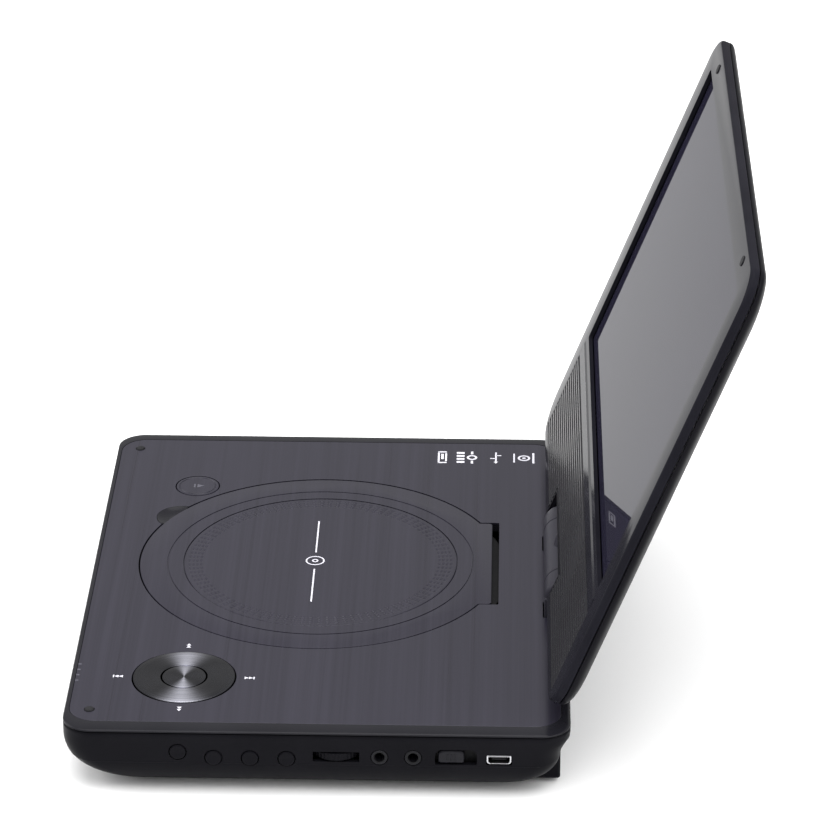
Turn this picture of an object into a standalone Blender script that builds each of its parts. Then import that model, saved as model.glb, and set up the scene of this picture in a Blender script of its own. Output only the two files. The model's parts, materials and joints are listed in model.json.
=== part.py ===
"""A portable DVD player: a flat base with a disc door, and a screen on a tilting and swivelling hinge.

Every length below is in millimetres, and the helpers turn it into Blender's metres. The origin is
the centre of the base's flat underside, +X is the user's right, +Y the rear and +Z up. The screen
is modelled upright about its tilt axis and then leans back with its pivot.
"""

import math

import bmesh
import bpy
from mathutils import Matrix, Vector

MM = 0.001

# Overall sizes
WIDTH = 229.0
DEPTH = 172.8
DECK_HEIGHT = 24.0
WALL = 2.0
GAP = 0.3
PLAN_CORNER = 10.0

# Base shell: how far each lower edge curves in, and how high its curve is
FRONT_RAKE = 28.0
FRONT_RAKE_HEIGHT = 18.0
SIDE_ROUND = 12.5
REAR_RAKE = 16.0
REAR_RAKE_HEIGHT = 12.0
REAR_TAPER = 3.4
REAR_TAPER_TOP = 19.4
REAR_TAPER_HEIGHT = 8.0

# Top cover and deck plate
COVER_EDGE = 1.2
COVER_STEP = 2.4
COVER_RIM_SIDE = 5.6
COVER_RIM_FRONT = 1.6
COVER_RIM_REAR = 3.0
COVER_SLOPE = 0.7
PLATE = 0.8

# Disc door, its tab and the well under it
DOOR_X = -9.9
DOOR_Y = -3.8
DOOR_MARGIN = 6.0
DOOR_THICK = 2.2
DOOR_LIP = 1.0
DOOR_LIP_WIDTH = 2.5
DOOR_EDGE = 0.4
DOOR_CLEARANCE = 0.5
TAB_HALF = 31.5
TAB_SETBACK = 3.4
TAB_SLOT = 2.6
DOOR_AXIS_DROP = 1.8
DOOR_AXIS_INSET = 2.4
DOOR_PIN_RADIUS = 0.6
DOOR_PIN_HOLD = 2.0
DOOR_KNUCKLE_RADIUS = 1.5
DOOR_KNUCKLE_LENGTH = 7.0
DOOR_KNUCKLE_X = 24.0
SCOOP_RADIUS = 9.0
SCOOP_INSET = 4.0
SCOOP_TURN = math.radians(238)
SCOOP_DEPTH = 1.2
DISC_RADIUS = 60.0
WELL_CLEARANCE = 1.5
WELL_DEPTH = 7.4
WELL_WALL = 1.4
WELL_FLANGE_REACH = 7.5
WELL_FLANGE_THICK = 1.2
PICKUP_SLOT_HALF = 6.0

# Disc mechanism
TURNTABLE_RADIUS = 14.0
HUB_RADIUS = 7.3
SPINDLE_RADIUS = 1.2
MOTOR_RADIUS = 12.5
MOTOR_HEIGHT = 5.6
CHASSIS_HALF = 31.0
CHASSIS_THICK = 1.5
ROD_RADIUS = 1.0
ROD_X = 17.0
CARRIAGE_HALF_X = 20.6
CARRIAGE_HALF_Y = 6.5
CARRIAGE_THICK = 3.4
LENS_RADIUS = 3.4
PICKUP_INNER = 24.0
PICKUP_EDGE = 4.0
SLED_GEAR_RADIUS = 5.1
SLED_GEAR_THICK = 2.8

# Keys on the deck
NAV_X = 78.0
NAV_Y = -47.1
NAV_RADIUS = 18.1
NAV_INNER = 8.0
KEY_CLEARANCE = 0.35
KEY_PROUD = 0.4
KEY_HEIGHT = 2.5
OPEN_X = -69.3
OPEN_Y = -53.2
OPEN_RADIUS = 8.1
LATCH_WIDTH = 8.0
LATCH_PAST_KEY = 0.7
CATCH_DEPTH = 1.6
CATCH_GAP = 0.9
CATCH_WIDTH = 6.0
BUMPER_X = 101.0
BUMPER_Y = -77.7
BUMPER_RADIUS = 1.7
BUMPER_PROUD = 0.6

# Controls and sockets on the right wall: distance from the deck down, and place along Y
SIDE_KEY_RADIUS = 2.8
SIDE_KEY_Y = (-46.7, -34.6, -22.2, -9.8)
SIDE_KEY_DROP = (8.4, 10.5, 10.5, 10.5)
SIDE_KEY_LENGTH = 8.0
SIDE_KEY_PROUD = 0.4
WHEEL_Y = 7.0
WHEEL_DROP = 9.5
WHEEL_RADIUS = 9.0
WHEEL_THICK = 2.6
WHEEL_PROUD = 0.8
WHEEL_SLOT = 15.8
JACK_Y = (21.7, 33.1)
JACK_DROP = 9.5
JACK_BARREL = 2.8
JACK_BORE = 1.8
JACK_DEPTH = 14.0
JACK_SETBACK = 2.4
SWITCH_Y = 47.6
SWITCH_DROP = 9.1
SWITCH_WIDTH = 14.2
SWITCH_HEIGHT = 5.9
SWITCH_KNOB = 5.4
PORT_Y = 62.2
PORT_DROP = 10.0
PORT_WIDTH = 8.4
PORT_HEIGHT = 3.4
PORT_WALL = 0.6
PORT_DEPTH = 7.0

# Inside the base, and under it
BOARD_THICK = 1.6
BOARD_Z = 5.2
BATTERY_HEIGHT = 10.5
BATTERY_Z = 3.0
BACK_BLOCK_HALF = 103.0
BACK_BLOCK_DEPTH = 21.2
BACK_BLOCK_REAR = 3.2
BACK_BLOCK_HEIGHT = 10.7
BACK_BLOCK_WALL = 2.0
FOOT_X = 88.0
FOOT_RADIUS = 5.0
FOOT_HEIGHT = 1.2
FOOT_FRONT_Y = -52.0
FOOT_REAR_Y = 46.0
SCREW_X = 58.0
SCREW_FRONT_Y = -54.0
SCREW_REAR_Y = 52.0
SCREW_HEAD = 2.6
SCREW_SHANK = 1.2
SCREW_LENGTH = 8.5
BOSS_RADIUS = 3.9

# Hinge and screen
LEAN_BACK = math.radians(21.4)
CLOSED_GAP = 1.0
SCREEN_THICK = 12.4
SCREEN_BELOW_AXIS = 1.8
SCREEN_LOW_CORNER = 14.0
SCREEN_TOP_CORNER = 11.0
BARREL_RADIUS = 6.9
BARREL_HALF = 31.0
KNUCKLE_HALF = 19.7
SHAFT_RADIUS = 2.0
LUG_NECK = 2.8
BRACKET_THICK = 2.0
BRACKET_Z = 13.0
NOTCH_HALF = 32.5
NOTCH_TOP = 9.0
POST_RADIUS = 2.5
POST_LENGTH = 20.0
BEZEL_WALL = 1.8
BEZEL_DEPTH = 3.0
BEZEL_CHAMFER = 1.3
DOME_SIDE = 52.0
DOME_TOP = 55.0
DOME_LOW = 5.0
DOME_DEPTH = 8.6
DISPLAY_WIDTH = 202.8
DISPLAY_HEIGHT = 117.1
DISPLAY_TOP = 10.9
PANEL_LAP = 2.5
PANEL_THICK = 2.6
GRILLE_HALF = 103.0
GRILLE_LOW = 1.8
GRILLE_TOP = 33.8
GRILLE_THICK = 0.6
SPEAKER_X = 74.0
SPEAKER_LENGTH = 34.0
SPEAKER_WIDTH = 16.0
PAD_X = 88.0
PAD_RADIUS = 1.8

# Derived places
HALF_WIDTH = WIDTH / 2
HALF_DEPTH = DEPTH / 2
COVER_LOW = DECK_HEIGHT - COVER_EDGE - COVER_STEP
SEAM = DECK_HEIGHT - COVER_EDGE
SHELL_TOP = SEAM - 0.4
PLATE_LOW = DECK_HEIGHT - PLATE
WELL_FLOOR = DECK_HEIGHT - WELL_DEPTH
WELL_UNDER = WELL_FLOOR - WELL_WALL
WELL_RADIUS = DISC_RADIUS + WELL_CLEARANCE
WELL_FLANGE = WELL_RADIUS + WELL_FLANGE_REACH
DOOR_RADIUS = DISC_RADIUS + DOOR_MARGIN
TAB_REACH = DOOR_RADIUS - TAB_SETBACK
SCOOP_DISTANCE = DOOR_RADIUS - SCOOP_INSET
PICKUP_TRAVEL = DISC_RADIUS - PICKUP_INNER - PICKUP_EDGE
DOOR_UNDER = DECK_HEIGHT - DOOR_THICK
DOOR_LIP_UNDER = DECK_HEIGHT - DOOR_LIP
DOOR_PIN_LENGTH = 2 * (TAB_HALF + DOOR_CLEARANCE + DOOR_PIN_HOLD)
CATCH_NEAR = WELL_RADIUS + WELL_WALL + CATCH_GAP
DOOR_AXIS_Y = DOOR_Y + TAB_REACH - DOOR_AXIS_INSET
DOOR_AXIS_Z = DECK_HEIGHT - DOOR_AXIS_DROP
TILT_Y = HALF_DEPTH - SCREEN_BELOW_AXIS
TILT_Z = DECK_HEIGHT + CLOSED_GAP + SCREEN_THICK / 2
SCREEN_LOW = -SCREEN_BELOW_AXIS
SCREEN_TOP = SCREEN_LOW + DEPTH
SCREEN_FACE = -SCREEN_THICK / 2
SCREEN_BACK = SCREEN_THICK / 2
SCREEN_SEAM = SCREEN_FACE + BEZEL_DEPTH
DISPLAY_HIGH = SCREEN_TOP - DISPLAY_TOP
DISPLAY_LOW = DISPLAY_HIGH - DISPLAY_HEIGHT

for old in list(bpy.data.objects):
    bpy.data.objects.remove(old)

PARTS = bpy.data.collections.new("portable_dvd_player")
CUTTERS = bpy.data.collections.new("cutters")
bpy.context.scene.collection.children.link(PARTS)
bpy.context.scene.collection.children.link(CUTTERS)


def material(name, colour, roughness, metallic=0.0):
    """A Principled BSDF material of one finish."""
    made = bpy.data.materials.new(name)
    made.use_nodes = True
    shader = made.node_tree.nodes["Principled BSDF"]
    shader.inputs["Base Color"].default_value = (*colour, 1.0)
    shader.inputs["Roughness"].default_value = roughness
    shader.inputs["Metallic"].default_value = metallic
    return made


CASE = material("case_black", (0.022, 0.022, 0.026), 0.42)
GLOSS = material("gloss_black", (0.018, 0.018, 0.022), 0.12)
BRUSHED = material("brushed_deck", (0.075, 0.072, 0.09), 0.35, 0.4)
DARK_METAL = material("dark_spun_metal", (0.09, 0.09, 0.1), 0.28, 0.9)
STEEL = material("steel", (0.55, 0.56, 0.58), 0.3, 1.0)
RUBBER = material("rubber", (0.012, 0.012, 0.013), 0.8)
BOARD = material("circuit_board", (0.02, 0.16, 0.07), 0.5)
WELL = material("well_grey", (0.06, 0.06, 0.065), 0.5)
CELL = material("battery_wrap", (0.05, 0.12, 0.3), 0.4)
DISPLAY = material("display_glass", (0.03, 0.03, 0.035), 0.06)
LENS = material("lens_blue", (0.1, 0.25, 0.6), 0.05)


def pivot(name, spot, parent=None, lean=0.0):
    """An empty on a joint's axis, which carries the pieces that turn or slide there."""
    empty = bpy.data.objects.new(name, None)
    empty.location = Vector(spot) * MM
    empty.rotation_euler = (lean, 0.0, 0.0)
    empty.parent = parent
    PARTS.objects.link(empty)
    return empty


def attach(piece, holder):
    """Parent a piece to a pivot without moving it; the pivot isn't turned."""
    piece.parent = holder
    piece.matrix_parent_inverse = Matrix.Translation(-holder.location)
    return piece


def add_piece(name, mesh, finish, holder=None):
    """Link a mesh as a visible piece, shaded smooth except at its sharp edges."""
    mesh.materials.append(finish)
    mesh.shade_smooth()
    mesh.set_sharp_from_angle(angle=math.radians(35))
    piece = bpy.data.objects.new(name, mesh)
    PARTS.objects.link(piece)
    piece.parent = holder
    return piece


def as_cutter(piece):
    """Turn a piece into a hidden tool for a Boolean."""
    PARTS.objects.unlink(piece)
    CUTTERS.objects.link(piece)
    piece.hide_render = True
    piece.display_type = "WIRE"
    return piece


def boolean(piece, tool, operation):
    """Combine a piece with a tool, which is hidden."""
    modifier = piece.modifiers.new(tool.name, "BOOLEAN")
    modifier.operation = operation
    modifier.object = as_cutter(tool)


def cut(piece, *tools):
    for tool in tools:
        boolean(piece, tool, "DIFFERENCE")
    return piece


def join(piece, *tools):
    for tool in tools:
        boolean(piece, tool, "UNION")
    return piece


def bevel(piece, width, segments=1, angle=35):
    modifier = piece.modifiers.new("edges", "BEVEL")
    modifier.width = width * MM
    modifier.segments = segments
    modifier.limit_method = "ANGLE"
    modifier.angle_limit = math.radians(angle)
    return piece


def mesh_from(build):
    """Run a function on an empty bmesh and return its mesh with faces pointing out."""
    shape = bmesh.new()
    build(shape)
    bmesh.ops.recalc_face_normals(shape, faces=shape.faces)
    mesh = bpy.data.meshes.new("shape")
    shape.to_mesh(mesh)
    shape.free()
    return mesh


def box(name, low, high, finish=CASE, holder=None, edge=0.0):
    """A box between two corners."""
    low = Vector(low) * MM
    high = Vector(high) * MM

    def build(shape):
        size = Matrix.Diagonal((*(high - low), 1.0))
        bmesh.ops.create_cube(shape, size=1.0, matrix=Matrix.Translation((low + high) / 2) @ size)

    piece = add_piece(name, mesh_from(build), finish, holder)
    if edge:
        bevel(piece, edge)
    return piece


def rod(name, centre, radius, length, axis, finish=CASE, holder=None, edge=0.0, sides=20):
    """A cylinder about its centre, along X, Y or Z."""
    turn = {"X": Matrix.Rotation(math.pi / 2, 4, "Y"), "Y": Matrix.Rotation(math.pi / 2, 4, "X"),
            "Z": Matrix.Identity(4)}[axis]

    def build(shape):
        bmesh.ops.create_cone(shape, cap_ends=True, segments=sides, radius1=radius * MM,
                              radius2=radius * MM, depth=length * MM,
                              matrix=Matrix.Translation(Vector(centre) * MM) @ turn)

    piece = add_piece(name, mesh_from(build), finish, holder)
    if edge:
        bevel(piece, edge, 1, 60)
    return piece


def upright(name, x, y, low, high, radius, finish=CASE, holder=None, edge=0.0, sides=20):
    """A cylinder standing between two heights."""
    return rod(name, (x, y, (low + high) / 2), radius, high - low, "Z", finish, holder, edge, sides)


def turned(name, profile, centre, finish=CASE, holder=None, steps=32):
    """A turned piece: a closed (radius, height) outline, from the top down its outer side."""
    mesh = bpy.data.meshes.new("profile")
    points = [(radius * MM, 0.0, height * MM) for radius, height in profile]
    edges = [(i, i + 1) for i in range(len(points) - 1)]
    on_axis = profile[0][0] == 0 and profile[-1][0] == 0
    if not on_axis:
        edges.append((len(points) - 1, 0))
    mesh.from_pydata(points, edges, [])
    piece = add_piece(name, mesh, finish, holder)
    piece.location = Vector(centre) * MM
    screw = piece.modifiers.new("turn", "SCREW")
    screw.steps = steps
    screw.render_steps = steps
    screw.use_merge_vertices = True
    screw.merge_threshold = 0.00001
    screw.use_smooth_shade = True
    return piece


def rounded_outline(x_low, x_high, y_low, y_high, radii, steps=5):
    """Points of a rectangle with round corners, counted from the front left corner round by the right."""
    corners = (
        (x_low + radii[0], y_low + radii[0], radii[0], 180),
        (x_high - radii[1], y_low + radii[1], radii[1], 270),
        (x_high - radii[2], y_high - radii[2], radii[2], 0),
        (x_low + radii[3], y_high - radii[3], radii[3], 90),
    )
    points = []
    for x, y, radius, start in corners:
        for step in range(steps + 1):
            angle = math.radians(start + 90 * step / steps)
            points.append((x + radius * math.cos(angle), y + radius * math.sin(angle)))
    return points


def loft(name, rings, finish=CASE, holder=None, close_top=True):
    """A skin over rings of equally many points, closed at its first ring and, if asked, its last."""

    def build(shape):
        made = [[shape.verts.new(Vector(point) * MM) for point in ring] for ring in rings]
        for lower, upper in zip(made, made[1:]):
            for i, vert in enumerate(lower):
                after = (i + 1) % len(lower)
                shape.faces.new((vert, lower[after], upper[after], upper[i]))
        shape.faces.new(made[0])
        if close_top:
            shape.faces.new(made[-1])

    return add_piece(name, mesh_from(build), finish, holder)


def solidify(piece, thickness, offset=-1.0):
    modifier = piece.modifiers.new("wall", "SOLIDIFY")
    modifier.thickness = thickness * MM
    modifier.offset = offset
    modifier.use_even_offset = True
    return piece


def quarter_inset(height, reach, rise):
    """How far an elliptic lower edge stands in from the wall at a height."""
    if height >= rise:
        return 0.0
    share = (rise - height) / rise
    return reach * (1 - math.sqrt(1 - share * share))


def base_ring(z, side, front, rear, corner):
    """A ring of the base's plan outline, brought in on each side."""
    outline = rounded_outline(side - HALF_WIDTH, HALF_WIDTH - side, front - HALF_DEPTH,
                              HALF_DEPTH - rear, (corner,) * 4)
    return [(x, y, z) for x, y in outline]


def shell_ring(z):
    """The base shell's outer ring at a height."""
    side = quarter_inset(z, SIDE_ROUND, SIDE_ROUND)
    front = quarter_inset(z, FRONT_RAKE, FRONT_RAKE_HEIGHT)
    share = min(1.0, max(0.0, (REAR_TAPER_TOP - z) / REAR_TAPER_HEIGHT))
    taper = REAR_TAPER * math.sin(math.pi / 2 * share)
    rear = taper + quarter_inset(z, REAR_RAKE, REAR_RAKE_HEIGHT)
    return base_ring(z, side, front, rear, PLAN_CORNER + side * 0.3)


def base_bottom_shell():
    heights = [0.0]
    heights += [SIDE_ROUND * (1 - math.cos(math.radians(a))) for a in (16, 32, 48, 66)]
    heights += [SIDE_ROUND, (SIDE_ROUND + REAR_TAPER_TOP) / 2, REAR_TAPER_TOP, SHELL_TOP]
    piece = loft("base_bottom_shell", [shell_ring(z) for z in heights], CASE, close_top=False)
    solidify(piece, WALL)
    screws = [(x, y) for x in (-SCREW_X, SCREW_X) for y in (SCREW_FRONT_Y, SCREW_REAR_Y)]
    for number, (x, y) in enumerate(screws):
        join(piece, upright(f"boss_{number}", x, y, WALL / 2, SCREW_LENGTH + 1, BOSS_RADIUS, sides=16))
    for number, (x, y) in enumerate(screws):
        cut(piece, upright(f"head_hole_{number}", x, y, -1, 2.0 + GAP, SCREW_HEAD + GAP, sides=16))
        cut(piece, upright(f"shank_hole_{number}", x, y, 1, SCREW_LENGTH + 2, SCREW_SHANK + GAP, sides=16))
    cut(piece, box("back_block_cut",
                   (-BACK_BLOCK_HALF - GAP, back_block_front() - GAP, -1),
                   (BACK_BLOCK_HALF + GAP, HALF_DEPTH + 5, BACK_BLOCK_HEIGHT + 2 * GAP)))
    wall_cuts(piece)
    return piece


def wall_cuts(piece):
    """Cut the right wall for its keys, wheel, jacks, switch and port."""
    inner = HALF_WIDTH - 4 * WALL
    outer = HALF_WIDTH + 3
    middle = (inner + outer) / 2
    for number, (y, drop) in enumerate(zip(SIDE_KEY_Y, SIDE_KEY_DROP)):
        cut(piece, rod(f"side_key_hole_{number}", (middle, y, DECK_HEIGHT - drop),
                       SIDE_KEY_RADIUS + KEY_CLEARANCE, outer - inner, "X"))
    wheel_z = DECK_HEIGHT - WHEEL_DROP
    cut(piece, box("wheel_slot", (inner, WHEEL_Y - WHEEL_SLOT / 2, wheel_z - WHEEL_THICK / 2 - 2 * GAP),
                   (outer, WHEEL_Y + WHEEL_SLOT / 2, wheel_z + WHEEL_THICK / 2 + 2 * GAP)))
    for number, y in enumerate(JACK_Y):
        cut(piece, rod(f"jack_hole_{number}", (middle, y, DECK_HEIGHT - JACK_DROP),
                       JACK_BARREL + GAP, outer - inner, "X"))
    cut(piece, box("switch_window",
                   (inner, SWITCH_Y - SWITCH_WIDTH / 2, DECK_HEIGHT - SWITCH_DROP - SWITCH_HEIGHT / 2),
                   (outer, SWITCH_Y + SWITCH_WIDTH / 2, DECK_HEIGHT - SWITCH_DROP + SWITCH_HEIGHT / 2)))
    cut(piece, box("port_window",
                   (inner, PORT_Y - PORT_WIDTH / 2 - GAP, DECK_HEIGHT - PORT_DROP - PORT_HEIGHT / 2 - GAP),
                   (outer, PORT_Y + PORT_WIDTH / 2 + GAP, DECK_HEIGHT - PORT_DROP + PORT_HEIGHT / 2 + GAP)))


def door_outline(grow, slot=0.0):
    """Plan points of the disc door: a circle whose rear runs out into a straight tab."""
    radius = DOOR_RADIUS + grow
    half = TAB_HALF + grow
    reach = TAB_REACH + slot
    start = math.acos(half / radius)
    steps = 44
    sweep = 2 * math.pi - (math.pi - 2 * start)
    points = [(half, reach), (-half, reach)]
    for step in range(steps + 1):
        angle = math.pi - start + sweep * step / steps
        points.append((radius * math.cos(angle), radius * math.sin(angle)))
    return [(DOOR_X + x, DOOR_Y + y) for x, y in points]


def door_slab(name, grow, slot, low, high, finish=GLOSS):
    outline = door_outline(grow, slot)
    return loft(name, [[(x, y, low) for x, y in outline], [(x, y, high) for x, y in outline]], finish)


def toward_latch(distance):
    """A plan point on the line from the door's centre to the open key."""
    line = Vector((OPEN_X - DOOR_X, OPEN_Y - DOOR_Y)).normalized()
    return DOOR_X + line.x * distance, DOOR_Y + line.y * distance


def latch_block(name, near, far, half, low, high, finish=CASE):
    """A box that points from the door's centre to the open key."""
    piece = box(name, (near, -half, low), (far, half, high), finish)
    piece.rotation_euler.z = math.atan2(OPEN_Y - DOOR_Y, OPEN_X - DOOR_X)
    piece.location = Vector((DOOR_X, DOOR_Y, 0)) * MM
    return piece


def deck_holes(piece, tag, low, high):
    """Cut what both the cover and the deck plate leave open: door, keys, latch scoop and hinge necks."""
    cut(piece, door_slab(f"door_hole_{tag}", DOOR_CLEARANCE, TAB_SLOT, low, high))
    cut(piece, upright(f"nav_hole_{tag}", NAV_X, NAV_Y, low, high, NAV_RADIUS, sides=40))
    cut(piece, upright(f"open_hole_{tag}", OPEN_X, OPEN_Y, low, high, OPEN_RADIUS + KEY_CLEARANCE))
    for side in (-1, 1):
        near = side * (KNUCKLE_HALF + GAP)
        far = side * (BARREL_HALF + GAP)
        front = TILT_Y - BARREL_RADIUS
        cut(piece, box(f"neck_hole_{tag}_{'left' if side < 0 else 'right'}",
                       (min(near, far), front - GAP, low), (max(near, far), front + LUG_NECK + GAP, high)))


def base_top_cover():
    rings = [
        base_ring(COVER_LOW, WALL + 2 * GAP, WALL + 2 * GAP, WALL + 2 * GAP, PLAN_CORNER - WALL),
        base_ring(SEAM, WALL + 2 * GAP, WALL + 2 * GAP, WALL + 2 * GAP, PLAN_CORNER - WALL),
        base_ring(SEAM, 0, 0, 0, PLAN_CORNER),
        base_ring(DECK_HEIGHT - COVER_SLOPE, 0, 0, 0, PLAN_CORNER),
        base_ring(DECK_HEIGHT - COVER_SLOPE / 3, 1.4, 0.4, 0.8, PLAN_CORNER),
        base_ring(DECK_HEIGHT, COVER_RIM_SIDE - 0.6, COVER_RIM_FRONT - 0.6, COVER_RIM_REAR - 0.6,
                  PLAN_CORNER),
    ]
    piece = loft("base_top_cover", rings, GLOSS)
    recess = loft("plate_recess", [
        base_ring(PLATE_LOW - GAP, COVER_RIM_SIDE, COVER_RIM_FRONT, COVER_RIM_REAR, PLAN_CORNER),
        base_ring(DECK_HEIGHT + 1, COVER_RIM_SIDE, COVER_RIM_FRONT, COVER_RIM_REAR, PLAN_CORNER),
    ])
    cut(piece, recess)
    deck_holes(piece, "cover", COVER_LOW - 1, DECK_HEIGHT + 1)
    x, y = toward_scoop()
    cut(piece, rod("door_pin_seat", (DOOR_X, DOOR_AXIS_Y, DOOR_AXIS_Z), DOOR_PIN_RADIUS + GAP,
                   DOOR_PIN_LENGTH + 2 * GAP, "X"))
    cut(piece, upright("scoop_cover", x, y, PLATE_LOW - SCOOP_DEPTH, DECK_HEIGHT + 1, SCOOP_RADIUS, sides=24))
    for number, side in enumerate((-1, 1)):
        cut(piece, upright(f"bumper_seat_{number}", side * BUMPER_X, BUMPER_Y, PLATE_LOW - 1, DECK_HEIGHT + 1,
                           BUMPER_RADIUS + GAP, sides=16))
    return piece


def toward_scoop():
    """The centre of the finger scoop beside the door's front left rim."""
    return DOOR_X + SCOOP_DISTANCE * math.cos(SCOOP_TURN), DOOR_Y + SCOOP_DISTANCE * math.sin(SCOOP_TURN)


def deck_plate():
    edge = [COVER_RIM_SIDE + GAP, COVER_RIM_FRONT + GAP, COVER_RIM_REAR + GAP, PLAN_CORNER - GAP]
    piece = loft("deck_plate", [base_ring(PLATE_LOW, *edge), base_ring(DECK_HEIGHT, *edge)], BRUSHED)
    deck_holes(piece, "plate", PLATE_LOW - 1, DECK_HEIGHT + 1)
    x, y = toward_scoop()
    cut(piece, upright("scoop_plate", x, y, PLATE_LOW - 1, DECK_HEIGHT + 1, SCOOP_RADIUS, sides=24))
    for number, side in enumerate((-1, 1)):
        cut(piece, upright(f"bumper_hole_{number}", side * BUMPER_X, BUMPER_Y, PLATE_LOW - 1, DECK_HEIGHT + 1,
                           BUMPER_RADIUS + GAP, sides=16))
    return piece


def disc_door():
    """The door: a thin lip all round a thicker slab, with two hinge knuckles and a catch near the open key."""
    hinge = pivot("disc_door_pivot", (DOOR_X, DOOR_AXIS_Y, DOOR_AXIS_Z))
    piece = door_slab("disc_door", 0, 0, DOOR_LIP_UNDER, DECK_HEIGHT)
    bevel(piece, DOOR_EDGE, 1, 50)
    join(piece, door_slab("door_core", -DOOR_LIP_WIDTH, -DOOR_LIP_WIDTH, DOOR_UNDER,
                          DECK_HEIGHT - DOOR_LIP / 2))
    for number, side in enumerate((-1, 1)):
        join(piece, rod(f"door_knuckle_{number}", (DOOR_X + side * DOOR_KNUCKLE_X, DOOR_AXIS_Y, DOOR_AXIS_Z),
                        DOOR_KNUCKLE_RADIUS, DOOR_KNUCKLE_LENGTH, "X", sides=20))
    cut(piece, rod("door_bore", (DOOR_X, DOOR_AXIS_Y, DOOR_AXIS_Z), DOOR_PIN_RADIUS + GAP, DOOR_PIN_LENGTH,
                   "X"))
    join(piece, latch_block("door_catch", CATCH_NEAR, CATCH_NEAR + CATCH_DEPTH, CATCH_WIDTH / 2,
                            WELL_FLOOR + 0.2,
                            DECK_HEIGHT - DOOR_LIP / 2))
    return attach(piece, hinge)


def door_hinge_pin():
    return rod("door_hinge_pin", (DOOR_X, DOOR_AXIS_Y, DOOR_AXIS_Z), DOOR_PIN_RADIUS, DOOR_PIN_LENGTH, "X",
               STEEL)


def disc_well():
    """The tray the disc lies in, with its flange under the cover."""
    flange_top = COVER_LOW - GAP
    profile = [
        (WELL_RADIUS, flange_top), (WELL_FLANGE, flange_top), (WELL_FLANGE, flange_top - WELL_FLANGE_THICK),
        (WELL_RADIUS + WELL_WALL, flange_top - WELL_FLANGE_THICK), (WELL_RADIUS + WELL_WALL, WELL_UNDER),
        (TURNTABLE_RADIUS + 2, WELL_UNDER), (TURNTABLE_RADIUS + 2, WELL_FLOOR), (WELL_RADIUS, WELL_FLOOR),
    ]
    piece = turned("disc_well", profile, (DOOR_X, DOOR_Y, 0), WELL, steps=48)
    slot_near = PICKUP_INNER - LENS_RADIUS - 1
    slot_far = PICKUP_INNER + PICKUP_TRAVEL + LENS_RADIUS + 0.8
    cut(piece, box("pickup_slot", (DOOR_X - PICKUP_SLOT_HALF, DOOR_Y - slot_far, WELL_UNDER - 1),
                   (DOOR_X + PICKUP_SLOT_HALF, DOOR_Y - slot_near, WELL_FLOOR + 1)))
    cut(piece, latch_block("catch_slot", CATCH_NEAR - 0.5, WELL_FLANGE - 1, CATCH_WIDTH / 2 + 0.8,
                           WELL_UNDER - 1,
                           flange_top + 1))
    return piece


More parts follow.
